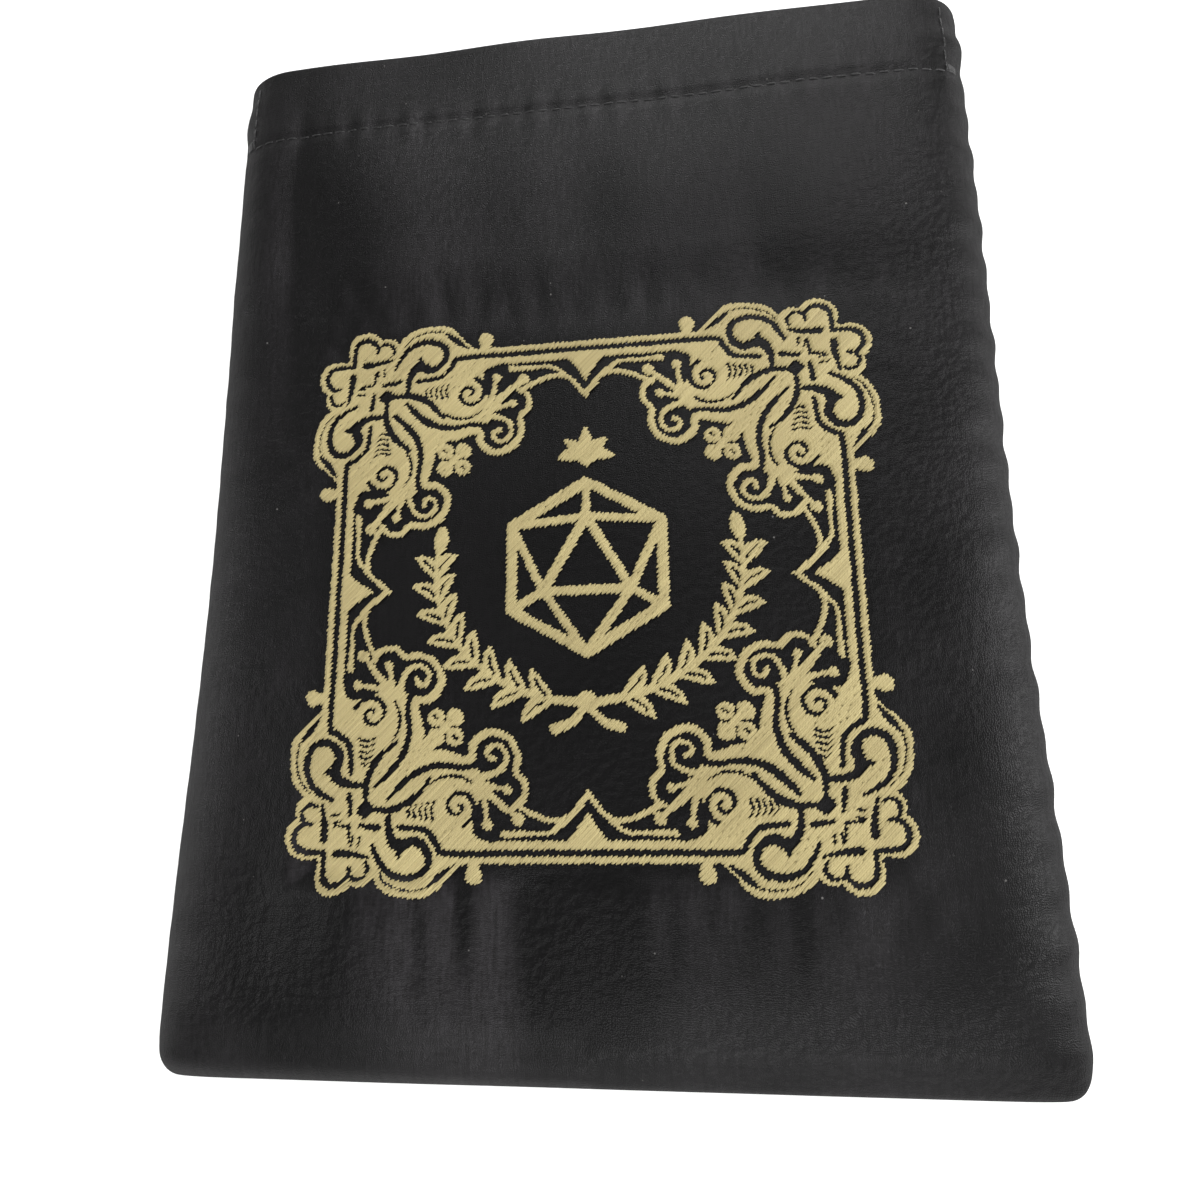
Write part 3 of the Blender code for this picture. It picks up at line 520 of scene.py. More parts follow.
def cotton_finish(name, shade):
    """Black cotton: nearly black, mottled by the slubs, with a faint sheen, the soft pale bloom of loose
    fibre ends. The value kept at its points paints light on its colour: paler as a painted highlight,
    darker as painted shade. It grows more matt towards its silhouette."""
    material, tree, shader = new_material(name)
    maths = maths_in(tree)
    cells = placed(tree, weave, Cloth=own_map(tree, "lay"))
    shades = (COTTON_DARK * shade, COTTON_PALE * shade)
    mottled = colour_ramp(tree, cells.outputs["Mottle"], MOTTLE_RANGE, shades)
    # Painted light: the cotton's colour scaled up as painted highlight and down as painted shade
    light_painted_colour = step_in(tree, "VectorMath")
    light_painted_colour.operation = "SCALE"
    painted_light_scale = maths("MULTIPLY_ADD", own_value(tree, "painted_light"), PAINTED_LIGHT_GAIN, 1)
    feed(tree, light_painted_colour, {0: mottled, "Scale": painted_light_scale})
    lint = step_in(tree, "Mix")
    lint.data_type = "RGBA"
    feed(tree, lint, {"Factor": cells.outputs["Lint"], "A": light_painted_colour.outputs[0], "B": LINT_COLOUR})
    facing = step_in(tree, "LayerWeight", Blend=0.5).outputs["Facing"]
    matt = maths("MULTIPLY_ADD", maths("POWER", facing, 2), GRAZING_MATT, COTTON_MATT)
    bump = step_in(tree, "Bump", Strength=0.335, Distance=0.12 * MM, Height=cells.outputs["Height"])
    feed(tree, shader, {
        "Base Color": lint.outputs["Result"],
        "Roughness": maths("MULTIPLY_ADD", cells.outputs["Mottle"], -MOTTLE_SHINE, matt, clamp=True),
        "Normal": bump.outputs[0],
        "Specular IOR Level": 0.12,
        "Sheen Weight": 0.003,
        "Sheen Roughness": 0.45,
        "Sheen Tint": (0.9, 0.88, 0.9, 1),
    })
    return material


def folded_path(roll, edge, lines, channel):
    """One line along a cloth: round the bottom edge, along the bag, over a half circle at the mouth
    and back as the casing. Gives its place along the bag, how deep its middle lies behind the outer
    face, and how far up the rounded edge it is; channel is the room in the casing."""
    edge_in, edge_up, edge_tuck = edge
    body_y = np.linspace(BOTTOM_Y + roll, FOLD_Y, lines["along"])[1:]
    fold = np.linspace(0, math.pi, 9)[1:]
    casing_y = np.linspace(FOLD_Y, MOUTH_Y - CASING_DEPTH, lines["casing"])[1:]
    bottom_y = BOTTOM_Y + roll * edge_in + SEAM_TUCK * edge_tuck
    y = np.concatenate([bottom_y, body_y, FOLD_Y + FOLD_RADIUS * np.sin(fold), casing_y])
    depth = np.concatenate([
        np.full(len(edge_in) + len(body_y), COTTON / 2), COTTON / 2 + FOLD_RADIUS * (1 - np.cos(fold)),
        COTTON / 2 + 2 * FOLD_RADIUS + channel * hump(casing_y - CORD_SLIT_Y, CASING_DEPTH / 2),
    ])
    return y, depth, np.concatenate([edge_up, np.ones(len(y) - len(edge_up))])


def across_lines(y, width, roll, edge, count):
    """For each place along the bag, where the lines stand across a cloth of that half width, and
    how far up its rounded edges they are. The seams waver a little over their lowest line."""
    edge_in, edge_up, edge_tuck = edge
    middle = np.linspace(-1, 1, count)[1:-1]
    side = width[:, None] - roll[:, None] * edge_in - SEAM_TUCK * edge_tuck
    side = side + SEAM_WAVER * ripple(y, SEAM_RIPPLE)[:, None] * (1 - edge_in) * (edge_up > 0.05)
    x = np.concatenate([-side, (width - roll)[:, None] * middle, side[:, ::-1]], axis=1)
    up = np.concatenate([edge_up, np.ones(len(middle)), edge_up[::-1]])
    return x, up[None, :] + 0 * x


def laid_flat(middle):
    """Each point's place on the cloth before it was sewn, as lengths along its two directions: how
    far its row runs from the middle line, and how far the middle line runs from the bottom."""
    rows, columns = middle.shape[:2]
    half = columns // 2
    run = np.linalg.norm(np.diff(middle, axis=1), axis=-1)
    laid_x = np.concatenate([np.zeros((rows, 1)), np.cumsum(run, axis=1)], axis=1)
    run = np.linalg.norm(np.diff(middle[:, half], axis=0), axis=-1)
    laid_y = np.concatenate([[0], np.cumsum(run)])
    return np.stack([laid_x - laid_x[:, half, None], laid_y[:, None] + 0 * laid_x], axis=-1)


def front_height(x, y, depth, rise):
    """The front's height, depth behind its outer face: from the seam up its rounded edge to the top,
    with the seam's puckers, and lifted off the back at the cord slits. The casing, past the fold,
    has neither."""
    body = depth < FOLD_RADIUS
    rim = SEAM_Z + depth * 0.5 + CORD_SLIT_LIFT * hump(y - CORD_SLIT_Y, CORD_SLIT_LENGTH / 2) * body
    pucker = SEAM_PUCKER * ripple(y, SEAM_RIPPLE) * rise * (1 - rise) * 4 * np.sign(x) * body
    return rim + (top_height(x, y) - depth - rim) * rise + pucker


side_edge, bottom_edge = quarter(FRONT_LINES["side"]), quarter(FRONT_LINES["bottom"])
path_y, path_depth, path_up = folded_path(BOTTOM_ROLL, bottom_edge, FRONT_LINES, CHANNEL_HEIGHT)
half_width = side_half_width(path_y, path_depth)
across, across_up = across_lines(
    path_y, half_width, SIDE_ROLL - path_depth, side_edge, FRONT_LINES["across"]
)
along = path_y[:, None] + 0 * across
height = front_height(across, along, path_depth[:, None], across_up * path_up[:, None])
front_middle = np.stack([across, along, height], axis=-1)
front_flat = laid_flat(front_middle)
front = cloth_piece("front_cloth", front_middle, front_flat, COTTON, cotton_finish("front_cotton", 1.0))
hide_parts("front_panel", "front_casing")
# Painted light for the front's colour, kept at its points: a painted highlight where the cloth falls to
# the right, towards the right-hand lamp, painted shade where it rises and over the stitched square
slope = -np.gradient(top_height(across, along), axis=1) / np.gradient(across, axis=1)
pressed = PAINTED_SQUARE_SHADE * (1 - outside_square(across, along, DENT_FADE * MM))
painted_light = np.clip(slope / FULL_PAINTED_LIGHT_SLOPE, DARKEST_PAINTED_SHADE, 1) - pressed
point_values(front, "painted_light", np.tile(painted_light.ravel(), 2))


# Back panel: the same cotton, flat on the surface, turned up at its edges to meet the front's. Its
# top edge is turned in and stitched down like the front's.

BACK_ROLL = 4.0 * MM
BACK_RIM_Z = 1.8 * MM
BACK_CASING_INSET = 1.5 * MM
BACK_CHANNEL = 0.3 * MM
BACK_GROOVE = 0.35 * MM
BACK_CASING_LIFT = 0.2 * MM
BACK_LINES = {"edge": 8, "along": 150, "casing": 20, "across": 93}


def back_groove(y):
    """How far the casing's stitching draws the back up."""
    return BACK_GROOVE * bell(y - CASING_STITCH_Y, GROOVE_WIDTH)


back_edge = quarter(BACK_LINES["edge"])
path_y, path_depth, path_up = folded_path(BACK_ROLL, back_edge, BACK_LINES, BACK_CHANNEL)
turned_in = smooth(path_depth, COTTON / 2, COTTON / 2 + 2 * FOLD_RADIUS)
half_width = side_half_width(path_y, path_depth) - BACK_CASING_INSET * turned_in
across, across_up = across_lines(
    path_y, half_width, BACK_ROLL - path_depth, back_edge, BACK_LINES["across"]
)
along = path_y[:, None] + 0 * across
level = path_depth[:, None] + back_groove(along) * (1 - turned_in[:, None])
rim = (BACK_RIM_Z + (path_depth + BACK_CASING_LIFT - BACK_RIM_Z) * turned_in)[:, None]
height = rim + (level - rim) * across_up * path_up[:, None]
back_middle = np.stack([across, along, height], axis=-1)
# The back's outer face looks down, so its lines run the other way across
back_middle = back_middle[:, ::-1]
back_flat = laid_flat(back_middle)
back = cloth_piece("back_cloth", back_middle, back_flat, COTTON, cotton_finish("back_cotton", 0.95))
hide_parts("back_panel", "back_casing")


# Embroidered border: a square frame of rails with scrolled corners, machine-sewn in pale gold
# rayon thread. Every stitch is its own piece of thread, laid slantwise across its shape.

# The stitches, in mm: how far apart, how long, where long ones are split, how far each strays from
# its line, and how far neighbouring ends swing together in pairs
ROW_PITCH = 0.29
STITCH_ANGLE = 45
SHORTEST_STITCH = 0.4
LONGEST_STITCH = 6.2
SPLIT_PITCH = 4.6
SPLIT_OFFSETS = (0, 0.5, 0.25, 0.75)
SPLIT_MARGIN = 1.3
SPLIT_OVERLAP = 0.26
SPLIT_STRAY = 0.25
LINE_STRAY = 0.025
RAGGED_END = (-0.12, 0.22)
SHAPE_INSET = -0.02
PAIR_SWING = 0.13
RAIL = 44.0
# Shapes are measured at samples this far apart, and no edge is looked for further off than this
SAMPLE_STEP = 0.1
FAR_AWAY = 9.0
STITCH_SEED = 11


def band(does, path, widths):
    """A row that sews or leaves a band along its path, with its widths spread along it."""
    return {"does": does, "shape": "band", "path": path, "widths": widths}


def area(does, path):
    """A row that sews or leaves all that a closed path holds."""
    return {"does": does, "shape": "area", "path": path}


# The border in mm. Each path starts from the rails' outer corner: the first figure runs along the
# rail, the second across it, inwards. Every row is sewn in both halves of all four corners.
BORDER = [
    # the two rails and the bud on the outer one
    band("sew", [(20, 0.6), (46, 0.6)], [1.2]),
    band("sew", [(20, 2.7), (46, 2.7)], [1.5]),
    band("sew", [(26.2, 0.0), (26.2, -1.6)], [1.7, 2.8]),
    # the scrolled block that each corner's straps are worked on
    area("sew", [
        (25.0, 0.4), (22.7, -1.3), (20.9, -3.5), (18.9, -4.8), (16.6, -4.9), (13.8, -4.5), (11.4, -3.2),
        (9.8, -0.4), (9.0, 9.0), (12.5, 16.0), (16.0, 17.2), (20.5, 16.9), (25.2, 15.6), (27.8, 12.8),
        (27.8, 10.8), (26.4, 8.5), (26.0, 4.6), (29.0, 2.9)]),
    # the two lobed loops at the very corner
    band("sew", [(4.1, -1.1)], [6.9]),
    band("sew", [(8.2, -0.8)], [4.8]),
    band("sew", [(2.6, 2.6), (7.0, 7.0)], [5.4, 9.0]),
    band("sew", [(7.0, 7.0), (7.6, 1.6)], [9.0, 4.6]),
    band("leave", [
        (1.8, 1.8), (1.8, 0.0), (2.1, -1.9), (3.4, -3.0), (5.0, -2.9), (6.1, -1.8), (6.1, -0.5)
    ], [0.7, 0.8, 0.9, 0.9, 0.75, 0.5]),
    band("leave", [(6.2, -1.4), (7.3, -2.2), (8.6, -1.9), (9.2, -0.8), (8.8, 0.3)], [0.45, 0.6, 0.6, 0.4]),
    band("leave", [(3.9, 1.7), (6.0, 1.6), (9.2, 1.0)], [1.2, 1.0, 0.4]),
    band("leave", [(6.3, 3.0), (6.5, 4.2)], [0.3]),
    band("leave", [(7.5, 2.8), (7.6, 4.1)], [0.3]),
    band("leave", [(3.3, 5.9), (5.6, 5.8)], [0.3, 0.5]),
    # the knot where the straps cross
    band("leave", [(7.7, 8.3), (9.0, 8.3)], [1.5]),
    band("leave", [(7.6, 5.9), (10.5, 5.5)], [0.6, 0.9]),
    # the hooked scroll over the rail's end, and the rail's groove that runs on under it
    band("leave", [
        (12.1, 7.2), (12.3, 5.0), (13.4, 3.1), (14.8, 2.9), (16.4, 3.5), (18.2, 2.6), (19.0, 0.8),
        (18.4, -0.9), (16.4, -1.9), (14.0, -1.8), (12.0, -0.8), (10.7, 0.9), (9.7, 2.8)
    ], [0.8, 1.2, 1.7, 1.6, 1.4, 1.2, 1.1, 1.1, 1.0, 0.9, 0.9, 0.5]),
    band("leave", [(14.2, 2.8), (14.2, 1.0)], [2.0, 0.3]),
    band("leave", [
        (46, 1.6), (33, 1.6), (21.8, 1.6), (20.3, 2.8), (18.4, 5.0), (14.0, 5.6)
    ], [0.9, 0.9, 0.9, 0.9, 0.7]),
    band("leave", [(23.0, -0.2), (20.8, -1.8), (18.9, -3.4)], [0.3, 1.1, 0.4]),
    band("leave", [
        (18.6, -3.5), (16.6, -3.8), (14.2, -3.4), (12.3, -2.5), (11.0, -1.0)], [0.12, 0.18, 0.12]),
    # the straps that leave the knot inwards
    band("leave", [(9.8, 8.3), (12.8, 8.3), (16.2, 10.0), (18.8, 13.0)], [0.7, 1.1, 1.1, 0.5]),
    band("leave", [
        (12.0, 9.8), (14.2, 12.2), (17.0, 14.2), (20.4, 15.0), (24.0, 14.6), (26.6, 15.2), (27.0, 17.0)
    ], [0.6, 1.1, 1.1, 0.9, 0.8, 0.9, 0.9]),
    # the leaf's vein over the volute
    band("leave", [(18.4, 12.0), (20.8, 13.2), (23.6, 13.2), (26.0, 12.0)], [0.15, 0.4, 0.38, 0.2]),
    # the hollow that the stamens stand in, with the curl and its edge
    area("leave", [
        (26.0, 5.4), (27.2, 3.9), (29.2, 3.3), (31.0, 4.2), (31.6, 8.0), (31.0, 12.2), (28.8, 12.0),
        (27.4, 10.6), (26.4, 8.4)]),
    band("sew", [
        (19.0, 17.0), (21.0, 16.8), (25.2, 15.8), (25.6, 18.2), (28.2, 20.1), (31.4, 19.0), (32.8, 16.4),
        (32.6, 13.8), (34.0, 12.2), (33.9, 9.8), (32.2, 8.4)], [1.2, 1.3, 1.4, 1.3, 1.2, 1.1, 0.9]),
    band("sew", [
        (26.6, 13.1), (28.6, 13.5), (30.6, 14.6), (31.0, 16.6), (29.8, 18.0), (28.2, 17.6), (27.9, 16.4),
        (29.0, 15.9)], [1.4, 1.0, 0.9, 0.9, 0.9, 1.0]),
    band("sew", [(26.6, 12.0), (27.6, 9.4), (28.1, 6.4)], [1.4, 0.8]),
    band("sew", [(28.2, 5.9)], [1.8]),
    band("sew", [(26.4, 12.4), (29.6, 9.4), (32.4, 7.2)], [1.8, 0.9]),
    band("sew", [(33.0, 6.6)], [2.1]),
    band("sew", [(26.6, 12.5), (29.0, 11.6), (31.0, 11.2)], [1.2, 0.7]),
    band("sew", [(31.2, 11.1)], [1.6]),
    # the thin arcs and the point at the middle of each side
    band("sew", [
        (32.6, 8.8), (35.2, 7.4), (38.4, 6.4), (41.0, 6.9), (42.6, 8.6), (44.2, 10.6)], [1.0, 0.9, 1.0]),
    band("sew", [(30.8, 4.4), (34.4, 4.5), (38.0, 4.6), (40.6, 6.4)], [1.2, 0.7, 0.9]),
    area("sew", [(46.0, 2.0), (38.2, 2.4), (41.0, 3.6), (42.6, 5.6), (45.0, 8.6), (48, 6), (48, 3)]),
    # the stem of the rosette that stands on the diagonal
    band("sew", [(15.0, 15.0), (18.6, 18.6)], [2.2, 2.4]),
]
VOLUTE = {"across": 23.4, "in": 8.6, "radius": 3.0, "angle": -70, "turns": -1.35,
          "widths": [0.4, 0.55, 0.7]}
HATCHING = {"lines": 5, "first": 19.5, "pitch": 0.95, "top": 6.6, "bottom": 9.4, "shorter": 0.15,
            "bulge": 0.4, "width": 0.32}
ROSETTE = {"at": 21.0, "petals": 4, "reach": 2.1, "petal_width": 3.1, "gap": (1.0, 3.4),
           "gap_width": 0.25, "vein": (1.7, 2.9), "vein_width": 0.16}

def smooth_path(points, steps=6):
    """Points along a smooth curve through the given ones."""
    given = np.array(points, float)
    if len(given) < 3:
        return given
    ends = np.concatenate([[2 * given[0] - given[1]], given, [2 * given[-1] - given[-2]]])
    return np.concatenate([*curve_parts(ends, steps), given[-1:]])


def smooth_loop(points, steps=5):
    """Points round a smooth closed curve through the given ones."""
    given = np.array(points, float)
    around = np.concatenate([given[-1:], given, given[:2]])
    return np.concatenate(curve_parts(around, steps))


def curve_parts(points, steps):
    """Cubic pieces between the inner points, each leaving towards its neighbour's neighbour."""
    t = np.linspace(0, 1, steps, endpoint=False)[:, None]
    parts = []
    for before, start, end, later in zip(points[:-3], points[1:-2], points[2:-1], points[3:]):
        slope = end - before
        bend = 2 * before - 5 * start + 4 * end - later
        twist = 3 * start - before - 3 * end + later
        parts.append(start + 0.5 * (slope * t + bend * t**2 + twist * t**3))
    return parts


def spiral(centre, radius, angle, turns):
    """Points from a spiral's eye out to radius at angle in degrees, clockwise where turns is negative:
    the reach grows evenly from 0.12 of the radius to all of it."""
    t = np.linspace(0, 1, 26)
    swing = np.radians(angle) - 2 * math.pi * turns * (1 - t)
    reach = radius * (0.12 + 0.88 * t)
    return np.stack([centre[0] + reach * np.cos(swing), centre[1] + reach * np.sin(swing)], axis=1)


def spread(values, count):
    """The values spread evenly over count places."""
    return np.interp(np.linspace(0, 1, count), np.linspace(0, 1, len(values)), values)


def to_piece(x, y, start, end):
    """Distance to a straight piece, and how far along it the nearest point lies, as a share."""
    run = end - start
    share = np.clip(((x - start[0]) * run[0] + (y - start[1]) * run[1]) / max(run @ run, 1e-9), 0, 1)
    return np.hypot(x - start[0] - share * run[0], y - start[1] - share * run[1]), share


def near_box(x, y, path, reach):
    """Which samples lie within reach of the box round a path."""
    low = path.min(axis=0) - reach
    high = path.max(axis=0) + reach
    return (x > low[0]) & (x < high[0]) & (y > low[1]) & (y < high[1])


def to_band(x, y, path, widths):
    """Distance to the edge of a band, negative inside it: the least, over its straight pieces, of
    the distance to the piece less half its width there."""
    path = np.array(path, float)
    half = spread(widths, len(path)) / 2
    nearest = np.full(x.shape, FAR_AWAY)
    close = near_box(x, y, path, half.max() + 1)
    x, y = x[close], y[close]
    found = np.full(x.shape, FAR_AWAY)
    if len(path) == 1:
        found = np.hypot(x - path[0][0], y - path[0][1]) - half[0]
    for start, end, thin, thick in zip(path[:-1], path[1:], half[:-1], half[1:]):
        away, share = to_piece(x, y, start, end)
        found = np.minimum(found, away - thin - (thick - thin) * share)
    nearest[close] = found
    return nearest


def to_area(x, y, path):
    """Distance to the edge of a closed area, negative where a ray crosses its outline an odd
    number of times."""
    nearest = np.full(x.shape, FAR_AWAY)
    close = near_box(x, y, path, 1)
    x, y = x[close], y[close]
    found = np.full(x.shape, FAR_AWAY)
    inside = np.zeros(x.shape, bool)
    for start, end in zip(path, np.roll(path, -1, axis=0)):
        found = np.minimum(found, to_piece(x, y, start, end)[0])
        rise = end[1] - start[1]
        if rise != 0:
            crossing = start[0] + (y - start[1]) * (end[0] - start[0]) / rise
            inside ^= ((start[1] > y) != (end[1] > y)) & (x < crossing)
    nearest[close] = np.where(inside, -found, found)
    return nearest


def hatching_rows():
    """Short bowed lines side by side in the volute's leaf, each a little shorter than the last."""
    middle = (HATCHING["top"] + HATCHING["bottom"]) / 2
    rows = []
    for line in range(HATCHING["lines"]):
        across = HATCHING["first"] - HATCHING["pitch"] * line
        shorter = HATCHING["shorter"] * line
        path = [
            (across, HATCHING["top"] + shorter),
            (across - HATCHING["bulge"], middle),
            (across, HATCHING["bottom"] - shorter),
        ]
        rows.append(band("leave", path, [HATCHING["width"]]))
    return rows


def rosette_spoke(turn, *reaches):
    """Places at those distances from the rosette's middle, turn being counted in petals."""
    at = ROSETTE["at"]
    turn = 2 * math.pi * turn / ROSETTE["petals"]
    return [(at + reach * math.cos(turn), at + reach * math.sin(turn)) for reach in reaches]


def rosette_rows():
    """Round petals about a middle of the same size, with gaps between them and a vein in each."""
    steps = range(ROSETTE["petals"])
    petal, gap, vein = ([ROSETTE[width]] for width in ("petal_width", "gap_width", "vein_width"))
    rows = [band("sew", [(ROSETTE["at"], ROSETTE["at"])], petal)]
    rows += [band("sew", rosette_spoke(step + 0.5, ROSETTE["reach"]), petal) for step in steps]
    rows += [band("leave", rosette_spoke(step, *ROSETTE["gap"]), gap) for step in steps]
    rows += [band("leave", rosette_spoke(step + 0.5, *ROSETTE["vein"]), vein) for step in steps]
    return rows


def border_rows():
    """The border's table with its computed ornaments: volute, hatching and rosette."""
    centre = (VOLUTE["across"], VOLUTE["in"])
    path = spiral(centre, VOLUTE["radius"], VOLUTE["angle"], VOLUTE["turns"])
    return BORDER + [band("leave", path, VOLUTE["widths"])] + hatching_rows() + rosette_rows()


def stitched(places, rows):
    """Distance to the edge of what the rows sew and leave, in their order, negative inside it."""
    field = np.full(places[0][0].shape, FAR_AWAY)
    for row in rows:
        if row["shape"] == "area":
            path = smooth_loop(row["path"])
            away = np.min([to_area(x, y, path) for x, y in places], axis=0)
        else:
            path = row["path"] if isinstance(row["path"], np.ndarray) else smooth_path(row["path"])
            away = np.min([to_band(x, y, path, row["widths"]) for x, y in places], axis=0)
        field = np.minimum(field, away) if row["does"] == "sew" else np.maximum(field, -away)
    return field


def corner_places(x, y):
    """The samples measured from their rail corner, along and across either of its two rails."""
    along = RAIL - np.minimum(np.abs(x), np.abs(y))
    inwards = RAIL - np.maximum(np.abs(x), np.abs(y))
    return [(along, inwards), (inwards, along)]


def stitch_runs(places, rows, half_width, half_height, random):
    """Where each stitch starts and ends, in mm from the square's centre, and how far either end
    swings aside. Slanted lines, one row pitch apart, are cut to the part of them that lies in the
    shape; long ones are split, each line's splits set off from the last line's."""
    slant = math.radians(STITCH_ANGLE)
    run = np.array([math.cos(slant), math.sin(slant)])
    side = np.array([-run[1], run[0]])
    reach = math.hypot(half_width, half_height)
    lines = np.arange(-reach, reach, ROW_PITCH)
    lines = lines + random.uniform(-LINE_STRAY, LINE_STRAY, len(lines))
    steps = np.arange(-reach, reach, SAMPLE_STEP)
    x = steps[None, :] * run[0] + lines[:, None] * side[0]
    y = steps[None, :] * run[1] + lines[:, None] * side[1]
    field = np.full(x.shape, FAR_AWAY)
    within = (np.abs(x) < half_width) & (np.abs(y) < half_height)
    field[within] = stitched(places(x[within], y[within]), rows) + SHAPE_INSET
    inside = field < 0

    def crossings(changed):
        """Where lines cross the shape's edge, in proportion between the samples on its two sides."""
        line, sample = np.nonzero(changed)
        before, after = field[line, sample], field[line, sample + 1]
        return line, steps[sample] + SAMPLE_STEP * before / (before - after)

    entered, start = crossings(inside[:, 1:] & ~inside[:, :-1])
    end = crossings(~inside[:, 1:] & inside[:, :-1])[1]
    found = []
    for line, low, high in zip(entered, start, end):
        if high - low < SHORTEST_STITCH:
            continue
        cuts = [low]
        if high - low > LONGEST_STITCH:
            offset = SPLIT_OFFSETS[line % 4] * SPLIT_PITCH
            cut = math.ceil((low + SPLIT_MARGIN - offset) / SPLIT_PITCH) * SPLIT_PITCH + offset
            while cut < high - SPLIT_MARGIN:
                cuts.append(cut + random.uniform(-SPLIT_STRAY, SPLIT_STRAY))
                cut += SPLIT_PITCH
        cuts.append(high)
        found += [(line, a, b, a == low, b == high) for a, b in zip(cuts[:-1], cuts[1:])]
    found = np.array(found)
    even = 1 - 2 * (found[:, 0] % 2)
    line = lines[found[:, 0].astype(int)]
    low = found[:, 1] - random.uniform(*RAGGED_END, len(found)) - SPLIT_OVERLAP * (found[:, 3] == 0)
    high = found[:, 2] + random.uniform(*RAGGED_END, len(found)) + SPLIT_OVERLAP * (found[:, 4] == 0)
    sideways = random.uniform(-LINE_STRAY, LINE_STRAY, (2, len(found)))
    starts = low[:, None] * run + (line + sideways[0])[:, None] * side
    ends = high[:, None] * run + (line + sideways[1])[:, None] * side
    swings = np.stack([-even * found[:, 3], even * found[:, 4]], axis=1) * PAIR_SWING
    return starts, ends, swings


# A thread is an oval tube whose rings stand this far from its end, and nearer in a short one
THREAD_WIDTH = 0.42 * MM
THREAD_HEIGHT = 0.22 * MM
TUBE_SIDES = 6
RING_PLACES = np.array([0, 0.12, 0.38, 0.85]) * MM
SHORT_THREAD = 2.4 * MM
# How it dives into the cloth, swings to its neighbour and thins out towards its end
DIVE = 0.22 * MM
SUNK = 0.10 * MM
PAIR_REACH = 0.35 * MM
TIP_SHARE = 0.35
TIP_REACH = 0.6 * MM


def tube_faces(count, rings):
    """The corners and sizes of the faces of count alike tubes, each with its points ring by ring and
    then its two tips: four-cornered faces along it, and a fan of triangles to either tip."""
    index = np.arange(rings * TUBE_SIDES).reshape(rings, TUBE_SIDES)
    after = np.roll(index, -1, axis=1)
    quads = np.stack([index[:-1], after[:-1], after[1:], index[1:]], axis=-1).reshape(-1, 4)
    tip = np.full(TUBE_SIDES, index.size)
    fans = np.concatenate([
        np.stack([tip, after[0], index[0]], axis=-1), np.stack([tip + 1, index[-1], after[-1]], axis=-1)
    ])
    shift = (np.arange(count) * (index.size + 2))[:, None, None]
    corners = np.concatenate([(quads + shift).ravel(), (fans + shift).ravel()])
    return corners, np.repeat([4, 3], [count * len(quads), count * len(fans)])


def thread_piece(name, starts, ends, swings, widths, heights, lift, tones, floor, material, facing=1):
    """Many short threads in one piece. Each is an oval tube along the line from start to end; its
    height over the cloth is lift * (1 - e^(-d / DIVE)) - SUNK, d being the distance to its nearer
    end, so both ends dive into the cloth, where the tube closes to a point. An end's swing to the
    side fades as e^(-d / PAIR_REACH), and the tube's size there is TIP_SHARE + d / TIP_REACH of its
    full one. It lies over the floor where facing is 1 and under it where facing is -1."""
    count = len(starts)
    length = np.linalg.norm(ends - starts, axis=1)[:, None]
    near_end = RING_PLACES * np.minimum(1, length / SHORT_THREAD)
    along = np.concatenate([near_end, length / 2, (length - near_end)[:, ::-1]], axis=1)
    to_end = np.minimum(along, length - along)
    run = (ends - starts) / length
    side = np.stack([-run[:, 1], run[:, 0]], axis=1)
    aside = swings[:, :1] * np.exp(-along / PAIR_REACH)
    aside = aside + swings[:, 1:] * np.exp((along - length) / PAIR_REACH)
    centre = starts[:, None] + run[:, None] * along[:, :, None] + side[:, None] * aside[:, :, None]
    up = lift[:, None] * (1 - np.exp(-to_end / DIVE)) - SUNK
    base = floor(centre[..., 0], centre[..., 1]) + facing * up
    tips = np.concatenate([centre[:, [0, -1]], base[:, [0, -1], None]], axis=-1)
    angle = np.linspace(0, 2 * math.pi, TUBE_SIDES, endpoint=False) + math.pi / TUBE_SIDES
    full = np.minimum(1, TIP_SHARE + to_end / TIP_REACH)[:, :, None]
    out = np.cos(angle) * widths[:, None, None] / 2 * full
    points = np.stack([
        centre[..., 0, None] + side[:, None, 0, None] * out,
        centre[..., 1, None] + side[:, None, 1, None] * out,
        base[..., None] + np.sin(angle) * heights[:, None, None] / 2 * full,
    ], axis=-1)[:, 1:-1]
    points = np.concatenate([points.reshape(count, -1, 3), tips], axis=1)
    rings = along.shape[1] - 2
    around = np.broadcast_to(np.arange(TUBE_SIDES) / TUBE_SIDES, (count, rings, TUBE_SIDES))
    lengthwise = np.broadcast_to(along[:, 1:-1, None], (count, rings, TUBE_SIDES))
    uv = np.concatenate([
        np.stack([lengthwise, around], axis=-1).reshape(count, -1, 2),
        np.stack([along[:, [0, -1]], np.zeros((count, 2))], axis=-1),
    ], axis=1)
    corners, sizes = tube_faces(count, rings)
    piece = mesh_piece(name, points.reshape(-1, 3), corners, sizes, "thread", uv.reshape(-1, 2), material)
    point_values(piece, "tone", np.repeat(tones, points.shape[1]))
    return piece


# Twisted thread: its plies are slanted ridges |sin(pi (along / lay + plies * around))|
PLIES = 2.0
THREAD_LAY = 0.0007
twist = bpy.data.node_groups.new("thread_twist", "ShaderNodeTree")
twist.interface.new_socket("Thread", in_out="INPUT", socket_type="NodeSocketVector")
lay_socket = twist.interface.new_socket("Lay", in_out="INPUT", socket_type="NodeSocketFloat")
lay_socket.default_value = THREAD_LAY
twist.interface.new_socket("Height", in_out="OUTPUT", socket_type="NodeSocketFloat")
twist_in = twist.nodes.new("NodeGroupInput")
twist_out = twist.nodes.new("NodeGroupOutput")
maths = maths_in(twist)
split = step_in(twist, "SeparateXYZ", Vector=twist_in.outputs["Thread"])
lays = maths("DIVIDE", split.outputs[0], twist_in.outputs["Lay"])
turns = maths("ADD", lays, maths("MULTIPLY", split.outputs[1], PLIES))
plies = maths("ABSOLUTE", maths("SINE", maths("MULTIPLY", turns, math.pi)))
feed(twist, twist_out, {"Height": plies})


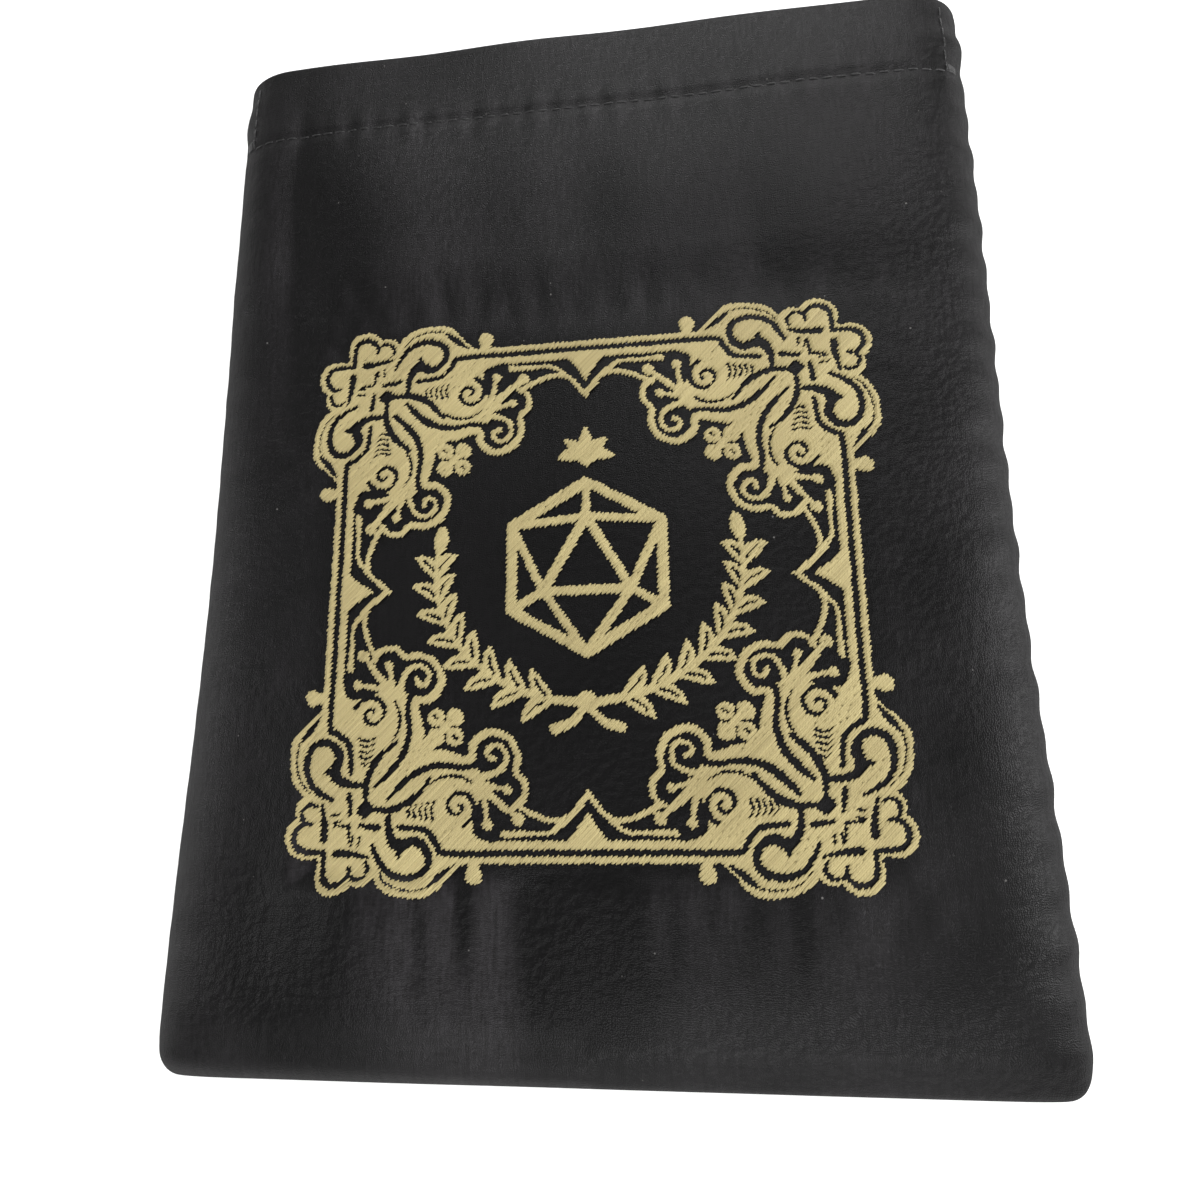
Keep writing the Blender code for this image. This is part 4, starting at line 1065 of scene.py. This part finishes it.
def thread_finish(name, dark, pale, roughness, sheen):
    """Smooth embroidery thread: each stitch a little lighter or darker, with fine slanted plies."""
    material, tree, shader = new_material(name)
    plies = placed(tree, twist, Thread=own_map(tree, "thread"))
    bump = step_in(tree, "Bump", Strength=0.5, Distance=0.06 * MM, Height=plies.outputs["Height"])
    feed(tree, shader, {
        "Base Color": colour_ramp(tree, own_value(tree, "tone"), (0, 1), (dark, pale)),
        "Roughness": roughness,
        "Normal": bump.outputs[0],
        "Specular IOR Level": 0.35,
        "Sheen Weight": sheen,
        "Sheen Roughness": 0.35,
    })
    return material


# How a stitch's tone, height over the cloth and thread vary
TONE_STRAY = 0.13
LOW_LIFT = 0.27 * MM
MORE_LIFT = 0.12 * MM
LONG_STITCH = 3 * MM
LIFT_STRAY = 0.012
WIDTH_SHARES = (0.93, 1.07)
HEIGHT_SHARES = (0.92, 1.08)


def embroider(places, rows, half_width, half_height, seed):
    """All the stitches of one sewn shape. A stitch lies higher as it grows to LONG_STITCH, its thread
    varies a little in width, and a broad slow drift, the sum of two sine waves, changes the tone of
    neighbouring stitches together."""
    random = np.random.default_rng(seed)
    starts, ends, swings = stitch_runs(places, rows, half_width, half_height, random)
    count = len(starts)
    x, y = ((starts + ends) / 2).T
    drift = 0.5 + 0.10 * np.sin(x / 5.3 + 1.1 * np.sin(y / 7.7)) + 0.08 * np.sin(y / 3.9)
    tones = np.clip(drift + random.normal(0, TONE_STRAY, count), 0, 1)
    centre = np.array([0, FIELD_Y])
    starts = starts * MM + centre
    ends = ends * MM + centre
    length = np.linalg.norm(ends - starts, axis=1)
    lift = LOW_LIFT + MORE_LIFT * np.minimum(1, length / LONG_STITCH)
    lift = lift + random.normal(0, LIFT_STRAY, count) * MM
    widths = THREAD_WIDTH * random.uniform(*WIDTH_SHARES, count)
    heights = THREAD_HEIGHT * random.uniform(*HEIGHT_SHARES, count)
    return starts, ends, swings * MM, widths, heights, lift, tones


GOLD_DARK = (0.216, 0.175, 0.077)
GOLD_PALE = (0.326, 0.273, 0.127)
gold = thread_finish("gold_thread", GOLD_DARK, GOLD_PALE, 0.6, 0.05)
HALF_BORDER = 49.5
made = embroider(corner_places, border_rows(), HALF_BORDER, HALF_BORDER, STITCH_SEED)
lie = (made[0] + made[1]) / 2 - np.array([0, FIELD_Y])
quarters = {"upper_right": (1, 1), "upper_left": (-1, 1), "lower_left": (-1, -1), "lower_right": (1, -1)}
for quarter_name, (x_sign, y_sign) in quarters.items():
    chosen = ((lie[:, 0] >= 0) == (x_sign > 0)) & ((lie[:, 1] >= 0) == (y_sign > 0))
    stitches = [values[chosen] for values in made]
    sewn = thread_piece("border_stitches_" + quarter_name, *stitches, top_height, gold)
    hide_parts("embroidered_border")


# Middle: a twenty-sided die between two leafy sprays, with a small fan of leaves over it, sewn in
# the same thread and the same slant.

# Its sizes, in mm from the square's centre
DIE = {"radius": 14.5, "middle": 3.0, "inner_share": 0.58, "outline": 1.9, "inner": 1.7, "ribs": 1.5}
SPRAY = {"half_width": 25.5, "half_height": 22.0, "middle": 2.5, "sweep": 99, "stem": [1.6, 1.2, 0.9]}
LEAVES = {"pairs": 8, "first": 0.12, "step": 0.11, "length": 6.2, "shorter": 0.15, "angle": 42,
          "bend": 0.8, "widths": [0.6, 2.0, 2.6, 2.1, 0.6], "vein": 0.32, "tip_share": 0.8}
KNOT = {"y": -19.5, "width": 3.6, "tail": [(0, -20.0), (2.6, -22.6), (5.2, -23.6)],
        "tail_widths": [1.1, 1.5, 1.9]}
PALMETTE = {"y": 20.6, "angles": [0, 36, 72], "length": 6.4, "shorter": 0.9, "bend": 0.6,
            "widths": [0.8, 1.9, 2.5, 1.0]}


def die_rows():
    """A twenty-sided die seen square on to one face: its outline, that face and the edges between."""
    def corner(share, turn):
        """A place at that share of the die's radius, turn degrees clockwise from its top."""
        turn = math.radians(turn)
        reach = share * DIE["radius"]
        return (reach * math.sin(turn), DIE["middle"] + reach * math.cos(turn))

    outline = np.array([corner(1, 60 * step) for step in range(7)])
    face = np.array([corner(DIE["inner_share"], 120 * step) for step in range(4)])
    rows = [band("sew", outline, [DIE["outline"]]), band("sew", face, [DIE["inner"]])]
    for step in range(3):
        for swing in (-60, 0, 60):
            rows.append(band("sew", [face[step], corner(1, 120 * step + swing)], [DIE["ribs"]]))
    return rows


def leaf(base, turn, length, bend):
    """A leaf's midrib: a straight line from its base, bowed sideways by bend * sin(pi t)."""
    run = np.array([math.cos(turn), math.sin(turn)])
    side = np.array([-run[1], run[0]])
    t = np.linspace(0, 1, 9)[:, None]
    return np.array(base) + run * length * t + side * bend * np.sin(math.pi * t)


def spray_rows():
    """One of the two leafy sprays, from the knot under the die out and up its side."""
    def on_stem(share):
        """A place on the stem, part of an ellipse, share being 0 at the knot and 1 at the tip."""
        turn = math.radians(-90 + SPRAY["sweep"] * share)
        up = SPRAY["middle"] + SPRAY["half_height"] * math.sin(turn)
        return np.array([SPRAY["half_width"] * math.cos(turn), up])

    stem = np.array([on_stem(share) for share in np.linspace(0, 1, 24)])
    tip_run = on_stem(1) - on_stem(0.99)
    tip_turn = math.atan2(tip_run[1], tip_run[0])
    tip = leaf(on_stem(1), tip_turn, LEAVES["length"] * LEAVES["tip_share"], 0)
    rows = [band("sew", stem, SPRAY["stem"]), band("sew", tip, LEAVES["widths"])]
    for pair in range(LEAVES["pairs"]):
        share = LEAVES["first"] + LEAVES["step"] * pair
        run = on_stem(share + 0.01) - on_stem(share - 0.01)
        along = math.atan2(run[1], run[0])
        length = LEAVES["length"] - LEAVES["shorter"] * pair
        for side in (1, -1):
            turn = along + side * math.radians(LEAVES["angle"])
            path = leaf(on_stem(share), turn, length, -side * LEAVES["bend"])
            rows.append(band("sew", path, LEAVES["widths"]))
            rows.append(band("leave", path[2:7], [LEAVES["vein"]]))
    rows.append(band("sew", [(0, KNOT["y"])], [KNOT["width"]]))
    rows.append(band("sew", KNOT["tail"], KNOT["tail_widths"]))
    return rows


def palmette_rows():
    """Half of the small fan of leaves over the die."""
    rows = []
    for step, angle in enumerate(PALMETTE["angles"]):
        length = PALMETTE["length"] - PALMETTE["shorter"] * step
        path = leaf((0, PALMETTE["y"]), math.radians(90 - angle), length, PALMETTE["bend"] * step)
        rows.append(band("sew", path, PALMETTE["widths"]))
    return rows


def mirrored_places(x, y):
    """The samples folded on to the motif's right half."""
    return [(np.abs(x), y)]


MOTIFS = [
    {"node": "embroidered_die", "rows": die_rows(), "half_width": 17, "half_height": 20},
    {"node": "embroidered_sprays", "rows": spray_rows(), "half_width": 33, "half_height": 28},
    {"node": "embroidered_palmette", "rows": palmette_rows(), "half_width": 9, "half_height": 29},
]
for step, motif in enumerate(MOTIFS):
    seed = STITCH_SEED + 1 + step
    made = embroider(mirrored_places, motif["rows"], motif["half_width"], motif["half_height"], seed)
    sewn = thread_piece(motif["node"].replace("embroidered", "stitched"), *made, top_height, gold)
    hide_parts(motif["node"])


# Top-stitching: black polyester thread in a plain lockstitch, which holds the turned-in casings
# down, front and back, and runs beside the cord slits at both side seams.

LOCKSTITCH = 2.5 * MM
LOCKSTITCH_GAP = 0.35 * MM
LOCKSTITCH_WIDTH = 0.36 * MM
LOCKSTITCH_HEIGHT = 0.26 * MM
LOCKSTITCH_LIFT = 0.2 * MM
LOCKSTITCH_STRAY = 0.03
SLIT_STITCH_INSET = 4.2 * MM
SLIT_STITCH_END = 2.0 * MM
BACK_STITCH_INSET = 1.0 * MM
# The bar tacks that end the cord slits: how many stitches, how far in, how long, how far below the
# slit, and half their width in mm
TACK_STITCHES = 6
TACK_INSET = 2.2 * MM
TACK_LENGTH = 2.0 * MM
TACK_DROP = 1.0 * MM
TACK_HALF_WIDTH = 0.6


def front_surface(x, y):
    """The front's outer face, with its rounded sides, (1 - share)^EDGE_POWER + up^2 = 1."""
    share = np.clip((side_half_width(y, 0 * y) - np.abs(x)) / SIDE_ROLL, 0, 1)
    return front_height(x, y, 0 * y, np.sqrt(1 - (1 - share) ** EDGE_POWER))


def lockstitches(start, end):
    """A straight row of stitches from start to end, a short gap between each two."""
    start, end = np.array(start), np.array(end)
    count = round(float(np.linalg.norm(end - start)) / LOCKSTITCH)
    at = np.linspace(0, 1, count + 1)[:, None]
    gap = LOCKSTITCH_GAP / LOCKSTITCH / count / 2
    return start + (end - start) * (at[:-1] + gap), start + (end - start) * (at[1:] - gap)


def sewn_rows(name, rows, floor, facing, seed):
    """One piece from the rows' stitches, each a little out of line with the last."""
    random = np.random.default_rng(seed)
    starts, ends = (np.concatenate(both) for both in zip(*rows))
    count = len(starts)
    starts = starts + random.normal(0, LOCKSTITCH_STRAY, (count, 2)) * MM
    ends = ends + random.normal(0, LOCKSTITCH_STRAY, (count, 2)) * MM
    alike = [np.full(count, size) for size in (LOCKSTITCH_WIDTH, LOCKSTITCH_HEIGHT, LOCKSTITCH_LIFT)]
    tones = random.uniform(0, 1, count)
    sewn = thread_piece(name, starts, ends, np.zeros((count, 2)), *alike, tones, floor, black, facing)
    return sewn


black = thread_finish("black_thread", (0.004, 0.004, 0.004), (0.010, 0.0095, 0.010), 0.45, 0.0)
reach = HALF_WIDTH - SLIT_STITCH_INSET
tack_y = CORD_SLIT_Y - CORD_SLIT_LENGTH / 2 - TACK_DROP
rows = [lockstitches((-reach, CASING_STITCH_Y), (reach, CASING_STITCH_Y))]
for side in (-1, 1):
    rows.append(lockstitches((side * reach, CASING_STITCH_Y), (side * reach, MOUTH_Y - SLIT_STITCH_END)))
    tacks = tack_y + np.linspace(-TACK_HALF_WIDTH, TACK_HALF_WIDTH, TACK_STITCHES) * MM
    outer = np.stack([np.full(TACK_STITCHES, side * (HALF_WIDTH - TACK_INSET)), tacks], axis=1)
    rows.append((outer, outer - np.array([side * TACK_LENGTH, 0])))
sewn_rows("front_stitching", rows, front_surface, 1, 31)
back_reach = HALF_WIDTH - BACK_ROLL - BACK_STITCH_INSET
rows = [lockstitches((-back_reach, CASING_STITCH_Y), (back_reach, CASING_STITCH_Y))]
sewn_rows("back_stitching", rows, lambda x, y: back_groove(y), -1, 32)
